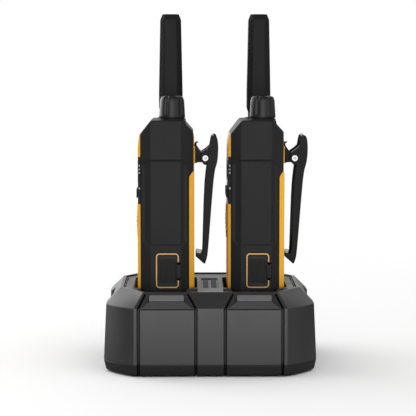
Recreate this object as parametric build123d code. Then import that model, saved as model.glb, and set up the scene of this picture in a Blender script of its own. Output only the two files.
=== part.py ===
from build123d import *
from math import cos, hypot, pi, sin
import os

# A pair of rugged two way radios standing in a two bay charging dock.
# Millimetres, +Z up, origin on the ground under the middle of the dock.
# Both radios face -X, carry their belt clip on +X and show their accessory port on -Y.

# ---- driving dimensions: layout
RADIO_OFFSET = 30.4         # each radio's centre plane from the middle of the dock
RADIO_BASE = 24.0           # underside of a docked radio
FIT_GAP = 0.5               # radio to pocket wall

# ---- driving dimensions: radio body (x from front to back, y across, z up)
BODY_HALF_WIDTH = 29.0
BODY_FRONT = -16.4          # seat of the front cover
BODY_BACK = 16.4            # seat of the back cover
UPPER_BACK = 19.2           # back of the body above the battery cover
FACE_FRONT = -18.9          # front face of the yellow front cover
FACE_BACK = 19.6            # back face of the yellow back cover
FLAT_FRONT = -9.6           # side flat runs from here ...
FLAT_BACK = 11.0            # ... to here
CORNER_FRONT = 24.5         # half width where the front corner facet ends
CORNER_BACK = 25.0          # half width where the back corner facet ends
BODY_TOP = 167.3
WALL = 2.4
PANEL_LOW, PANEL_HIGH = 83.6, 140.5     # sunk grip panel on each side
PANEL_DEPTH = 0.6
STEP_LOW, STEP_HIGH = 129.4, 133.2      # where the back cover steps outward

# ---- driving dimensions: controls
KNOB_X, KNOB_Y = 5.0, -19.0
KNOB_RADIUS = 8.8
KNOB_LOW, KNOB_HIGH = 168.8, 183.8
SHAFT_RADIUS = 3.0
COLLAR_TOP = 168.1
ANTENNA_X, ANTENNA_Y = 3.7, 15.0
ANTENNA_TOP = 239.0
PANEL_Z_LOW, PANEL_Z_HIGH = 111.0, 142.7    # black control panel on the front
KEY_Z = 117.6
KEY_PITCH = 13.0
SPEAKER_Z = 98.0
GRILLE_RADIUS = 10.6
GRILLE_RING_RADIUS = 12.1                   # raised ring round the grille
PORT_X_LOW, PORT_X_HIGH = -6.1, 9.5         # outside of the port trim
PORT_Z_LOW, PORT_Z_HIGH = 54.5, 78.2
TRIM_WIDTH = 1.1

# ---- driving dimensions: belt clip
PIN_X, PIN_Z = 27.4, 141.1
PIN_RADIUS = 2.0
CLIP_HALF_WIDTH = 12.5

# ---- driving dimensions: dock
FOOT_HEIGHT = 1.0
BAND_TOP = 7.8
SHOULDER_TOP = 45.5
RIM_TOP = 55.0
TRAY_TOP = 54.2
TRAY_THICK = 2.5
DOCK_WALL = 2.8
BAND_FOOT = (69.7, 59.2, 49.2, 37.2)    # half width, half depth, front flat, side flat
BAND_EDGE = (71.2, 60.5, 50.0, 38.2)
SHOULDER = (69.5, 59.4, 49.8, 37.6)
RIM_FRONT, RIM_REAR = -49.8, 45.0
RIM_HALF_WIDTH, RIM_FRONT_FLAT, RIM_REAR_FLAT = 60.5, 44.3, 48.7
RIM_SIDE_FRONT, RIM_SIDE_REAR = -27.0, 28.0
PAD_INNER, PAD_OUTER = 10.9, 46.0       # the two raised pads on the front
PAD_TOP_INNER, PAD_TOP_OUTER = 17.2, 40.3
CONTACT_Y = 8.0                         # charging contacts each side of the radio's middle


# ---------------------------------------------------------------- helpers
def block(x0, x1, y0, y1, z0, z1):
    """Box between two corners."""
    middle = ((x0 + x1) / 2, (y0 + y1) / 2, (z0 + z1) / 2)
    return Pos(*middle) * Box(abs(x1 - x0), abs(y1 - y0), abs(z1 - z0))


def polygon(points):
    return make_face(Polyline(*points, close=True))


def prism_x(points, x0, x1):
    """Outline in (y, z) carried from x0 to x1."""
    face = polygon([(x0, y, z) for y, z in points])
    return extrude(face, amount=x1 - x0, dir=(1, 0, 0))


def prism_y(points, y0, y1):
    """Outline in (x, z) carried from y0 to y1."""
    face = polygon([(x, y0, z) for x, z in points])
    return extrude(face, amount=y1 - y0, dir=(0, 1, 0))


def prism_z(points, z0, z1):
    """Outline in (x, y) carried from z0 to z1."""
    face = polygon([(x, y, z0) for x, y in points])
    return extrude(face, amount=z1 - z0, dir=(0, 0, 1))


def stack(levels):
    """Flat-sided body through polygons with equal corner counts, given as (z, points)."""
    faces = [polygon([(x, y, z) for x, y in points]) for z, points in levels]
    parts = [loft([low, high], ruled=True) for low, high in zip(faces, faces[1:])]
    body = parts[0]
    for part in parts[1:]:
        body = body + part
    return body


def rod_x(x0, x1, y, z, radius):
    return Pos((x0 + x1) / 2, y, z) * Rot(0, 90, 0) * Cylinder(radius, x1 - x0)


def rod_y(y0, y1, x, z, radius):
    return Pos(x, (y0 + y1) / 2, z) * Rot(90, 0, 0) * Cylinder(radius, y1 - y0)


def rod_z(z0, z1, x, y, radius):
    return Pos(x, y, (z0 + z1) / 2) * Cylinder(radius, z1 - z0)


def rounded_y(x0, x1, z0, z1, radius, y0, y1):
    """Box with its four corners along y rounded."""
    slab = block(x0, x1, y0, y1, z0, z1)
    return fillet(slab.edges().filter_by(Axis.Y), radius)


def rounded_x(y0, y1, z0, z1, radius, x0, x1):
    """Box with its four corners along x rounded."""
    slab = block(x0, x1, y0, y1, z0, z1)
    return fillet(slab.edges().filter_by(Axis.X), radius)


def joined(shapes):
    """Fuse a list of shapes."""
    body = shapes[0]
    for shape in shapes[1:]:
        body = body + shape
    return body


# ---------------------------------------------------------------- radio
def corner_half_width(x, grow):
    """Half width on the corner facet that x lies on, moved outward by grow."""
    if x < 0:
        run, rise = FLAT_FRONT - BODY_FRONT, BODY_HALF_WIDTH - CORNER_FRONT
        from_corner = x - BODY_FRONT
        corner = CORNER_FRONT
    else:
        run, rise = BODY_BACK - FLAT_BACK, BODY_HALF_WIDTH - CORNER_BACK
        from_corner = BODY_BACK - x
        corner = CORNER_BACK
    return corner + from_corner * rise / run + grow * hypot(run, rise) / run


def flat_end(x, grow):
    """Where the corner facet moved outward by grow meets the side moved outward by grow."""
    outer = BODY_HALF_WIDTH + grow
    low, high = (x - 20, 0.0) if x < 0 else (0.0, x + 20)
    y_low, y_high = corner_half_width(low - 0.001, grow), corner_half_width(high + 0.001, grow)
    return low + (high - low) * (outer - y_low) / (y_high - y_low)


def plan_outline(front, back, grow=0.0):
    """The radio's eight sided plan, cut off at two planes and moved outward by grow."""
    half = [(front, corner_half_width(front, grow)),
            (flat_end(BODY_FRONT, grow), BODY_HALF_WIDTH + grow),
            (flat_end(BODY_BACK, grow), BODY_HALF_WIDTH + grow),
            (back, corner_half_width(back, grow))]
    return [(x, -y) for x, y in half] + [(x, y) for x, y in reversed(half)]


BODY_PROFILE = [(-14.6, RADIO_BASE), (BODY_FRONT, 26.4), (BODY_FRONT, 158.3), (-9.2, BODY_TOP),
                (14.0, BODY_TOP), (14.0, 165.1), (UPPER_BACK, 159.5), (UPPER_BACK, STEP_HIGH),
                (BODY_BACK, STEP_LOW), (BODY_BACK, 26.4), (14.6, RADIO_BASE)]
CAVITY_PROFILE = [(-30, 29), (-30, 154.5), (BODY_FRONT, 154.5), (-8.4, 163.6), (12.2, 163.6),
                  (16.6, 158.0), (16.6, 130.0), (30, 130.0), (30, 29)]
SCREW_PLACES = [(side * 19.0, z) for side in (-1, 1) for z in (36.0, 125.0)]
KEYS = {"key_up": -KEY_PITCH, "key_menu": 0.0, "key_down": KEY_PITCH}
PTT_X_LOW, PTT_X_HIGH, PTT_Z_LOW, PTT_Z_HIGH = -5.5, 7.5, 110.0, 136.0


def case():
    """Black mid body: sides, top and bottom in one moulding, open to the front and back."""
    body = prism_z(plan_outline(BODY_FRONT, UPPER_BACK), RADIO_BASE, BODY_TOP)
    body = body & prism_y(BODY_PROFILE, -40, 40)
    body = body + rod_z(160, COLLAR_TOP, KNOB_X, KNOB_Y, 9.0)
    body = body + rod_z(160, COLLAR_TOP, ANTENNA_X, ANTENNA_Y, 9.4)
    cut_corner = 3.2
    sunk_outline = [(-15.2, PANEL_LOW + cut_corner), (-15.2 + cut_corner, PANEL_LOW),
                    (14.9 - cut_corner, PANEL_LOW), (14.9, PANEL_LOW + cut_corner),
                    (14.9, PANEL_HIGH - cut_corner), (14.9 - cut_corner, PANEL_HIGH),
                    (-15.2 + cut_corner, PANEL_HIGH), (-15.2, PANEL_HIGH - cut_corner)]
    core = prism_z(plan_outline(-30, 30, -PANEL_DEPTH), RADIO_BASE, BODY_TOP)
    for side in (-1, 1):
        sunk = prism_y(sunk_outline, *sorted((side * 18, side * 40)))
        body = body - (sunk - core)
    cavity = prism_z(plan_outline(-30, 30, -WALL), 26.6, 165) & prism_y(CAVITY_PROFILE, -40, 40)
    bosses = [rod_x(-4, BODY_BACK, y, z, 3.4) for y, z in SCREW_PLACES]
    bosses += [block(10, BODY_BACK, y, y * 1.4, z - 1.0, z + 1.0) for y, z in SCREW_PLACES]
    body = body - cavity
    shell_limit = prism_z(plan_outline(BODY_FRONT, BODY_BACK), RADIO_BASE, BODY_TOP)
    body = body + (joined(bosses) & shell_limit)
    for y, z in SCREW_PLACES:
        body = body - rod_x(6, 20, y, z, 1.3)
    # seat of the back cover's upper tongue
    body = body - block(18.0, 22, -14, 14, 131, 157)
    # knob shaft, antenna stud, talk button, port and charging contact openings
    body = body - rod_z(158, 170, KNOB_X, KNOB_Y, SHAFT_RADIUS + 0.08)
    body = body - rod_z(158, 170, ANTENNA_X, ANTENNA_Y, 4.05)
    body = body - rounded_y(PTT_X_LOW - 0.3, PTT_X_HIGH + 0.3, PTT_Z_LOW - 0.3, PTT_Z_HIGH + 0.3,
                            2.3, 20, 32)
    body = body - rounded_y(PORT_X_LOW, PORT_X_HIGH, PORT_Z_LOW, PORT_Z_HIGH, 2.4, -32, -27.6)
    body = body - block(9.0, 11.2, -32, -27.9, 60.4, 71.6)
    body = body - block(-3.6, 7.2, -32, -20, 57.4, 75.3)
    for side in (-1, 1):
        body = body - block(-3, 3, side * CONTACT_Y - 2, side * CONTACT_Y + 2, 20, 30)
    return body


PANEL_BED = -17.4           # sunk bed of the control panel
LIP_Y = 22.6                # the control panel's lips start here and wrap over the corners


def front_cover():
    """Yellow front moulding with a sunk bed for the control panel and a ringed speaker hole."""
    profile = [(BODY_FRONT, 26.6), (-18.2, 26.6), (FACE_FRONT, 29.5), (FACE_FRONT, PANEL_Z_LOW),
               (PANEL_BED, PANEL_Z_LOW), (PANEL_BED, PANEL_Z_HIGH), (-18.6, PANEL_Z_HIGH),
               (-18.6, 151.0), (-17.0, 157.2), (BODY_FRONT, 158.0)]
    plan = [(x, y) for x, y in plan_outline(-19.5, 20) if x < -18]
    bed = [(BODY_FRONT, -CORNER_FRONT), *plan[:1], *plan[-1:], (BODY_FRONT, CORNER_FRONT)]
    cover = prism_z(bed, 26.6, 158) & prism_y(profile, -40, 40)
    for side in (-1, 1):
        cover = cover - block(-20, -16, *sorted((side * (LIP_Y - 0.2), side * 30)), PANEL_Z_LOW, PANEL_Z_HIGH)
    cover = cover + rod_x(-19.7, -18.0, 0, SPEAKER_Z, GRILLE_RING_RADIUS)
    cover = cover - rod_x(-25, -10, 0, SPEAKER_Z, GRILLE_RADIUS + 0.1)
    for y in KEYS.values():
        cover = cover - rounded_x(y - 4.8, y + 4.8, KEY_Z - 3.3, KEY_Z + 3.3, 1.8, -20, -15)
    return cover


def control_panel():
    """Black plate of the front, with two lips over the corners, a window and three key openings."""
    half = corner_half_width(-18.6, 0.0)
    base = corner_half_width(-16.5, 0.0)
    outline = [(-16.5, -base), (-18.6, -half), (-18.6, half), (-16.5, base), (-16.5, LIP_Y),
               (PANEL_BED, LIP_Y), (PANEL_BED, -LIP_Y), (-16.5, -LIP_Y)]
    plate = prism_z(outline, PANEL_Z_LOW + 0.15, PANEL_Z_HIGH - 0.15)
    plate = plate - rounded_x(-16.2, 16.2, 124.4, 140.4, 1.6, -20, -17.9)
    for y in KEYS.values():
        plate = plate - rounded_x(y - 4.8, y + 4.8, KEY_Z - 3.3, KEY_Z + 3.3, 1.8, -20, -15)
    return plate


def display_lens():
    return rounded_x(-16.1, 16.1, 124.5, 140.3, 1.5, -18.65, -17.9)


def key(y):
    """Rubber key with a flange behind the front cover."""
    cap = rounded_x(y - 4.5, y + 4.5, KEY_Z - 3.0, KEY_Z + 3.0, 1.6, -19.3, -15.2)
    flange = block(-15.9, -15.2, y - 5.4, y + 5.4, KEY_Z - 3.9, KEY_Z + 3.9)
    return cap + flange


def ptt_button():
    """Talk button on the far side, with a flange inside the wall."""
    cap = rounded_y(PTT_X_LOW, PTT_X_HIGH, PTT_Z_LOW, PTT_Z_HIGH, 2.0, 25.4, 29.6)
    flange = block(PTT_X_LOW - 1.0, PTT_X_HIGH + 1.0, 25.0, 26.2, PTT_Z_LOW - 1.2, PTT_Z_HIGH + 1.2)
    return cap + flange


def speaker_grille():
    """Low domed disc with slots, set in the front cover."""
    disc = rod_x(-19.2, -17.0, 0, SPEAKER_Z, GRILLE_RADIUS)
    dome = Pos(-19.2 - 0.4, 0, SPEAKER_Z) * Rot(0, -90, 0) * Cone(GRILLE_RADIUS, 8.8, 0.8)
    grille = disc + dome
    for row in range(-2, 3):
        half = (8.4, 7.4, 5.2)[abs(row)]
        z = SPEAKER_Z + row * 3.2
        grille = grille - rounded_x(-half, half, z - 0.8, z + 0.8, 0.7, -22, -16)
    return grille


def speaker():
    """Round driver: basket, magnet and a sunk cone."""
    basket = rod_x(-15.6, -11.4, 0, SPEAKER_Z, 11.6)
    magnet = rod_x(-11.4, -8.0, 0, SPEAKER_Z, 6.5)
    sunk = Pos(-14.6, 0, SPEAKER_Z) * Rot(0, 90, 0) * Cone(9.6, 4.0, 2.0)
    return basket + magnet - sunk


def main_board():
    """Circuit board with its shield can, display module, key switches and volume control."""
    pieces = [block(-7.0, -5.4, -17.8, 17.8, 34, 158),
              block(-5.4, -2.6, -14, 14, 62, 104),
              block(-13.6, -7.0, -15, 15, 124.6, 140.2),
              block(-5.4, 9.6, -24.4, -13.6, 148.5, 157.0)]
    pieces += [rod_x(-13.4, -7.0, y, KEY_Z, 2.0) for y in KEYS.values()]
    return joined(pieces)


def battery_pack():
    """Cell pack with rounded long edges, behind the back cover."""
    pack = block(2.6, 15.4, -17.6, 17.6, 42, 121)
    return fillet(pack.edges().filter_by(Axis.Z), 3.0)


def back_cover():
    """Yellow back: battery door below, narrow tongue under the clip above."""
    profile = [(BODY_BACK, 26.6), (19.0, 26.6), (FACE_BACK, 29.5), (FACE_BACK, STEP_HIGH),
               (UPPER_BACK, STEP_HIGH), (BODY_BACK, STEP_LOW)]
    plan = [(BODY_BACK, -CORNER_BACK), (20.0, -corner_half_width(20.0, 0.0)),
            (20.0, corner_half_width(20.0, 0.0)), (BODY_BACK, CORNER_BACK)]
    door = prism_z(plan, 26, 140) & prism_y(profile, -40, 40)
    tongue_profile = [(18.0, 131.2), (19.6, 131.2), (19.9, 137.0), (19.9, 151.0), (19.3, 156.8),
                      (18.0, 156.8)]
    cover = door + prism_y(tongue_profile, -13.8, 13.8)
    for y, z in SCREW_PLACES:
        cover = cover - rod_x(16, 17.9, y, z, 1.3) - rod_x(17.9, 22, y, z, 2.5)
    return cover


def case_screws():
    """Four screws through the back cover into the case bosses."""
    screws = []
    for y, z in SCREW_PLACES:
        screw = rod_x(17.9, 19.3, y, z, 2.4) + rod_x(9, 17.9, y, z, 1.2)
        screw = screw - block(18.6, 20, y - 1.6, y + 1.6, z - 0.35, z + 0.35)
        screw = screw - block(18.6, 20, y - 0.35, y + 0.35, z - 1.6, z + 1.6)
        screws.append(screw)
    return screws


def port_trim():
    """Thin C shaped band round the port cover, open at the hinge side."""
    outer = rounded_y(PORT_X_LOW, PORT_X_HIGH, PORT_Z_LOW, PORT_Z_HIGH, 2.4, -29.35, -27.6)
    inner = rounded_y(PORT_X_LOW + TRIM_WIDTH, PORT_X_HIGH - TRIM_WIDTH,
                      PORT_Z_LOW + TRIM_WIDTH, PORT_Z_HIGH - TRIM_WIDTH, 1.3, -32, -20)
    return outer - inner - block(6, 12, -32, -20, 59.8, 72.2)


def port_cover():
    """Rubber flap over the accessory port, ribbed, with a hinge tab on its +x edge."""
    gap = TRIM_WIDTH + 0.3
    plate = rounded_y(PORT_X_LOW + gap, PORT_X_HIGH - gap, PORT_Z_LOW + gap, PORT_Z_HIGH - gap,
                      1.0, -29.2, -28.0)
    tab = block(7.0, 9.9, -29.2, -28.3, 61.4, 70.6)
    knuckle = rod_z(61.4, 70.6, 10.0, -29.0, 0.75)
    cover = plate + tab + knuckle
    for rib in range(-4, 5):
        x = 1.7 + rib * 1.3
        cover = cover - block(x - 0.2, x + 0.2, -29.4, -29.0, 58.2, 74.5)
    return cover


def accessory_jack():
    """Socket block behind the port cover: charging slot and two round sockets."""
    jack = block(-3.4, 7.0, -27.2, -18.5, 57.8, 75.0)
    jack = jack - rounded_y(-1.2, 4.8, 59.6, 62.2, 1.0, -28, -22)
    jack = jack - rod_y(-28, -20, 1.8, 66.2, 1.75) - rod_y(-28, -20, 1.8, 71.6, 1.25)
    return jack


def eight_sided(half_x, half_y, cut):
    """Rectangle with cut corners about the antenna's axis."""
    corners = [(half_x, half_y - cut), (half_x - cut, half_y), (cut - half_x, half_y),
               (-half_x, half_y - cut), (-half_x, cut - half_y), (cut - half_x, -half_y),
               (half_x - cut, -half_y), (half_x, cut - half_y)]
    return [(ANTENNA_X + x, ANTENNA_Y + y) for x, y in corners]


def antenna():
    """Rubber covered whip: eight sided, tapering, on a narrower neck with a threaded stud."""
    levels = [(172.6, 7.6, 6.6, 3.4), (175.0, 8.25, 7.2, 3.6), (186.0, 8.2, 7.1, 3.6),
              (235.1, 7.2, 6.2, 3.2), (ANTENNA_TOP, 5.65, 4.7, 2.6)]
    whip = stack([(z, eight_sided(hx, hy, cut)) for z, hx, hy, cut in levels])
    neck = prism_z(eight_sided(7.2, 6.4, 3.2), COLLAR_TOP, 172.6)
    stud = rod_z(159.0, COLLAR_TOP, ANTENNA_X, ANTENNA_Y, 4.0)
    return whip + neck + stud


def knob():
    """Fluted volume knob, tapering, with a chamfered top and a bore for the shaft."""
    height = KNOB_HIGH - KNOB_LOW
    skirt = Pos(0, 0, KNOB_LOW + 6.0) * Cone(KNOB_RADIUS, KNOB_RADIUS - 0.7, 12.0)
    crown = Pos(0, 0, KNOB_LOW + 12.0 + (height - 12.0) / 2) * Cone(KNOB_RADIUS - 0.7, 6.2, height - 12)
    body = skirt + crown
    flute_count = 10
    for step in range(flute_count):
        turn = 2 * pi * (step + 0.5) / flute_count
        reach = KNOB_RADIUS + 0.7
        body = body - rod_z(KNOB_LOW + 1.6, KNOB_HIGH + 2, reach * cos(turn), reach * sin(turn), 1.5)
    body = body - rod_z(KNOB_LOW - 1, 181.6, 0, 0, SHAFT_RADIUS + 0.03)
    return Pos(KNOB_X, KNOB_Y, 0) * body


def knob_shaft():
    shaft = rod_z(157.2, 181.0, KNOB_X, KNOB_Y, SHAFT_RADIUS)
    return shaft


ARM_OUTLINE = [(26.9, 68.3), (28.7, 73.4), (29.3, 78.4), (32.4, 119.5), (33.9, 133.2),
               (35.6, 137.9), (36.2, 149.5), (34.9, 155.2), (33.3, 156.8), (32.0, 156.0),
               (30.7, 151.0), (29.6, 146.6), (28.6, 136.4), (26.6, 119.5), (25.5, 78.4),
               (25.2, 75.0), (21.0, 76.4), (20.7, 73.8)]


def clip_arm():
    """Sprung belt clip: channel section arm with a thumb pad, a hooked lip and two pin ears."""
    arm = prism_y(ARM_OUTLINE, -CLIP_HALF_WIDTH, CLIP_HALF_WIDTH)
    channel = [(26.4, 80.5), (27.7, 80.5), (30.8, 119.5), (32.2, 133.0), (33.6, 138.5),
               (34.2, 149.0), (32.6, 153.6), (20.0, 153.6), (20.0, 80.5)]
    arm = arm - prism_y(channel, -10.6, 10.6)
    ear_outline = [(24.0, 143.0), (24.3, 138.6), (27.2, 136.3), (29.6, 136.4), (31.0, 146.0),
                   (31.2, 149.6), (28.6, 147.6), (25.4, 145.6)]
    for side in (-1, 1):
        inner, outer = sorted((side * 9.4, side * CLIP_HALF_WIDTH))
        arm = arm + prism_y(ear_outline, inner, outer)
    return arm - rod_y(-20, 20, PIN_X, PIN_Z, PIN_RADIUS)


def clip_bracket():
    """Black bracket on the tongue: base plate, catch above and two lugs round the pin."""
    base = block(19.9, 21.6, -9.0, 9.0, 137.6, 149.5)
    catch = prism_y([(19.9, 149.5), (21.4, 149.5), (21.6, 151.2), (22.6, 151.2), (22.6, 152.0),
                     (20.9, 152.0), (20.2, 150.9)], -5, 5)
    bracket = base + catch
    lug_outline = [(21.6, 138.0), (24.8, 138.2), (27.4, 138.1), (29.9, 139.4), (30.2, 142.6),
                   (27.4, 144.2), (24.2, 145.4), (21.6, 149.0)]
    for side in (-1, 1):
        inner, outer = sorted((side * 5.6, side * 9.0))
        bracket = bracket + prism_y(lug_outline, inner, outer)
    return bracket - rod_y(-20, 20, PIN_X, PIN_Z, PIN_RADIUS + 0.06)


def clip_pin():
    """Steel hinge pin held in the clip's ears, with shallow dimpled ends."""
    pin = rod_y(-12.9, 12.9, PIN_X, PIN_Z, PIN_RADIUS)
    for side in (-1, 1):
        pin = pin - rod_y(*sorted((side * 12.5, side * 14)), PIN_X, PIN_Z, 0.8)
    return pin


def clip_spring():
    """Torsion spring round the pin between the lugs, with one leg each way."""
    coil_radius, wire = 2.9, 0.45
    turns = [Pos(PIN_X, y, PIN_Z) * Rot(90, 0, 0) * Torus(coil_radius, wire)
             for y in [-3.6 + 0.8 * turn for turn in range(10)]]
    leg_body = rod_z(PIN_Z, PIN_Z + 8.6, PIN_X - coil_radius, -3.6, wire)
    leg_arm = rod_z(PIN_Z, PIN_Z + 8.6, PIN_X + coil_radius, 3.6, wire)
    return joined(turns + [leg_body, leg_arm])


def charge_contacts():
    """Two brass pads let into the underside."""
    pads = []
    for side in (-1, 1):
        y = side * CONTACT_Y
        pads.append(block(-2.9, 2.9, y - 1.9, y + 1.9, RADIO_BASE + 0.4, 27.2))
    return pads


def radio_nodes():
    """Every node of one radio, about its own centre line."""
    nodes = {"case": case(), "front_cover": front_cover(), "control_panel": control_panel(),
             "display_lens": display_lens(), "ptt_button": ptt_button(),
             "speaker_grille": speaker_grille(), "speaker": speaker(), "main_board": main_board(),
             "battery_pack": battery_pack(), "back_cover": back_cover(),
             "case_screws": case_screws(), "port_trim": port_trim(), "port_cover": port_cover(),
             "accessory_jack": accessory_jack(), "antenna": antenna(), "knob": knob(),
             "knob_shaft": knob_shaft(), "clip_arm": clip_arm(), "clip_bracket": clip_bracket(),
             "clip_pin": clip_pin(), "clip_spring": clip_spring(),
             "charge_contacts": charge_contacts()}
    for name, y in KEYS.items():
        nodes[name] = key(y)
    return nodes


# ---------------------------------------------------------------- dock
def octagon(size, inset=0.0):
    """Eight sided outline from half width, half depth and the two flats, drawn in by inset."""
    half_x, half_y, flat_x, flat_y = size
    corner_x, corner_y = half_x - flat_x, half_y - flat_y
    slant = hypot(corner_x, corner_y)
    flat_x -= inset * (slant - corner_x) / corner_y
    flat_y -= inset * (slant - corner_y) / corner_x
    half_x -= inset
    half_y -= inset
    return [(flat_x, -half_y), (half_x, -flat_y), (half_x, flat_y), (flat_x, half_y),
            (-flat_x, half_y), (-half_x, flat_y), (-half_x, -flat_y), (-flat_x, -half_y)]


def rim_outline(inset=0.0):
    """Outline of the dock's raised rim, drawn in by inset."""
    half_x = RIM_HALF_WIDTH - inset
    front_flat, rear_flat = RIM_FRONT_FLAT - 0.6 * inset, RIM_REAR_FLAT - 0.6 * inset
    front, rear = RIM_FRONT + inset, RIM_REAR - inset
    side_front, side_rear = RIM_SIDE_FRONT + 0.3 * inset, RIM_SIDE_REAR - 0.3 * inset
    return [(front_flat, front), (half_x, side_front), (half_x, side_rear), (rear_flat, rear),
            (-rear_flat, rear), (-half_x, side_rear), (-half_x, side_front), (-front_flat, front)]


BOSS_PLACES = [(x, y) for x in (-59.0, 59.0) for y in (-42.5, 42.5)]
FOOT_PLACES = [(x, y) for x in (-49.0, 49.0) for y in (-49.0, 49.0)]
POST_PLACES = [(x, y) for x in (-42.0, 42.0) for y in (-38.0, 38.0)]
BAY_CENTRES = (-RADIO_OFFSET, RADIO_OFFSET)
GROOVE_DEPTH = 1.3


def front_grooves():
    """Four upright grooves in the front, each carried on up the slope towards the pads."""
    lean = (BAND_EDGE[1] - SHOULDER[1]) / (SHOULDER_TOP - BAND_TOP)
    depth = GROOVE_DEPTH
    low_y, high_y = -BAND_EDGE[1], -SHOULDER[1]
    upright = [(low_y - 3, 0), (low_y + depth + 1.6, 0), (low_y + depth, BAND_TOP),
               (high_y + depth, SHOULDER_TOP), (high_y - 3 + lean, SHOULDER_TOP + 1.0)]
    cuts = []
    for foot_x, head_x in ((9.75, 15.9), (47.1, 42.3)):
        for side in (-1, 1):
            x = side * foot_x
            cuts.append(prism_x(upright, x - 1.0, x + 1.0))
            rise = [(side * foot_x - 1.0, SHOULDER_TOP - 0.8), (side * foot_x + 1.0, SHOULDER_TOP - 0.8),
                    (side * head_x + 0.8, RIM_TOP - 1.2), (side * head_x - 0.8, RIM_TOP - 1.2)]
            ramp = prism_x([(-64, 43), (-58.4, 44.0), (-49.6, 52.9), (-52, 60)], -80, 80)
            cuts.append(prism_y(rise, -64, -46) & ramp)
    return cuts


def front_pads():
    """The two raised pads that break the front slope."""
    profile = [(-59.5, 44.9), (-57.1, 50.3), (-51.9, 53.1), (-50.6, 51.6), (-56, 43.6)]
    pads = []
    for side in (-1, 1):
        face = [(side * PAD_INNER, 44.6), (side * PAD_OUTER, 44.6), (side * PAD_TOP_OUTER, 50.3),
                (side * PAD_TOP_OUTER, 56), (side * PAD_TOP_INNER, 56), (side * PAD_TOP_INNER, 50.3)]
        pads.append(prism_x(profile, -80, 80) & prism_y(face, -70, -40))
    return pads


LENS_MARGIN = 0.7


def status_lights(side, clearance=0.0):
    """Bar lens lying in a pad's upper face; with a clearance, the seat that it drops into."""
    lens = [(-56.9, 50.41), (-52.1, 53.0), (-51.8, 52.3), (-56.6, 49.7)]
    middle_y, middle_z, share = -54.4, 51.4, 1 + clearance / 5
    seat = [(middle_y + (y - middle_y) * share, middle_z + (z - middle_z) * share) for y, z in lens]
    x0, x1 = sorted((side * (PAD_TOP_INNER + LENS_MARGIN - clearance),
                     side * (PAD_TOP_OUTER - LENS_MARGIN + clearance)))
    return prism_x(seat, x0, x1)


def side_recess(side, inset=0.0):
    """Waist cut in a side wall between its front and rear corner blocks."""
    deep, wide = 65.6 - inset, 20.0 + inset
    outline = [(side * 80, -wide - 12), (side * deep, -wide), (side * deep, wide),
               (side * 80, wide + 12)]
    return prism_z(outline, BAND_TOP - (1 if inset == 0 else 0), 60)


def dock_shell():
    """Upper moulding: flared walls, sloped shoulders and a raised rim, hollow below."""
    outer = stack([(BAND_TOP, octagon(BAND_EDGE)), (SHOULDER_TOP, octagon(SHOULDER)),
                   (RIM_TOP, rim_outline())])
    outer = joined([outer] + front_pads())
    hollow = stack([(BAND_TOP - 1, octagon(BAND_EDGE, DOCK_WALL)),
                    (SHOULDER_TOP - 2.0, octagon(SHOULDER, DOCK_WALL)),
                    (RIM_TOP - 5.4, rim_outline(4.6))])
    hollow = hollow - side_recess(1, DOCK_WALL) - side_recess(-1, DOCK_WALL)
    shell = outer - hollow
    shell = shell - prism_z(rim_outline(4.6), RIM_TOP - 8, 60)
    shell = shell - prism_z(rim_outline(2.2), TRAY_TOP - TRAY_THICK, 60)
    for cut in front_grooves():
        shell = shell - cut
    for side in (-1, 1):
        shell = shell - side_recess(side) - status_lights(side, 0.12)
    bosses = []
    for x, y in BOSS_PLACES:
        bosses.append(rod_z(BAND_TOP, 40, x, y, 4.2) & outer)
    shell = joined([shell] + bosses)
    for x, y in BOSS_PLACES:
        shell = shell - rod_z(0, 22, x, y, 1.6)
    shell = shell - block(-6.2, 6.2, 50, 64, 11.8, 22.2)
    return shell


def dock_tray():
    """Insert with both pockets: plate inside the rim, flared mouths, walls and floors.

    A scoop in the plate falls from the rim to each pocket's front."""
    plate_low = TRAY_TOP - TRAY_THICK
    tray = prism_z(rim_outline(2.35), plate_low, TRAY_TOP)
    bodies, hollows = [], []
    scoop = [(-46.8, 54.25), (-31.4, 51.85), (-28, 51.3), (-28, 60), (-46.8, 60)]
    below = [(-44.8, plate_low + 0.5), (-44.8, plate_low - 0.2), (-32.5, plate_low - 2.6),
             (-31.0, plate_low - 2.6), (-31.0, plate_low + 0.5)]
    for centre in BAY_CENTRES:
        bodies.append(prism_x(below, centre - 22.5, centre + 22.8) & prism_z(rim_outline(4.8), 40, 60))
        hollows.append(prism_x(scoop, centre - 21.5, centre + 21.8))
        wall = prism_z(plan_outline(FACE_FRONT - 3.0, FACE_BACK + 3.0, 3.0), 21.5, plate_low)
        bodies.append(Pos(centre, 0, 0) * wall)
        inside = plan_outline(FACE_FRONT - FIT_GAP, FACE_BACK + FIT_GAP, FIT_GAP)
        mouth = plan_outline(FACE_FRONT - 2.6, FACE_BACK + 2.2, 2.4)
        hollow = prism_z(inside, RADIO_BASE, 60) + stack([(49.5, inside), (TRAY_TOP, mouth)])
        hollows.append(Pos(centre, 0, 0) * hollow)
    tray = joined([tray] + bodies)
    for hollow in hollows:
        tray = tray - hollow
    for centre in BAY_CENTRES:
        for side in (-1, 1):
            tray = tray - rod_z(20, 26, centre, side * CONTACT_Y, 1.3)
    tray = tray - block(-6.0, 6.0, -25.0, 17.0, TRAY_TOP - 0.8, 60)
    tray = tray - block(-5.9, 5.9, 20.2, 21.8, TRAY_TOP - 1.4, 60)
    for side in (-1, 1):
        tray = tray - block(side * 56.6, side * 57.6, -21, 22, TRAY_TOP - 0.9, 60)
    return tray


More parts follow.
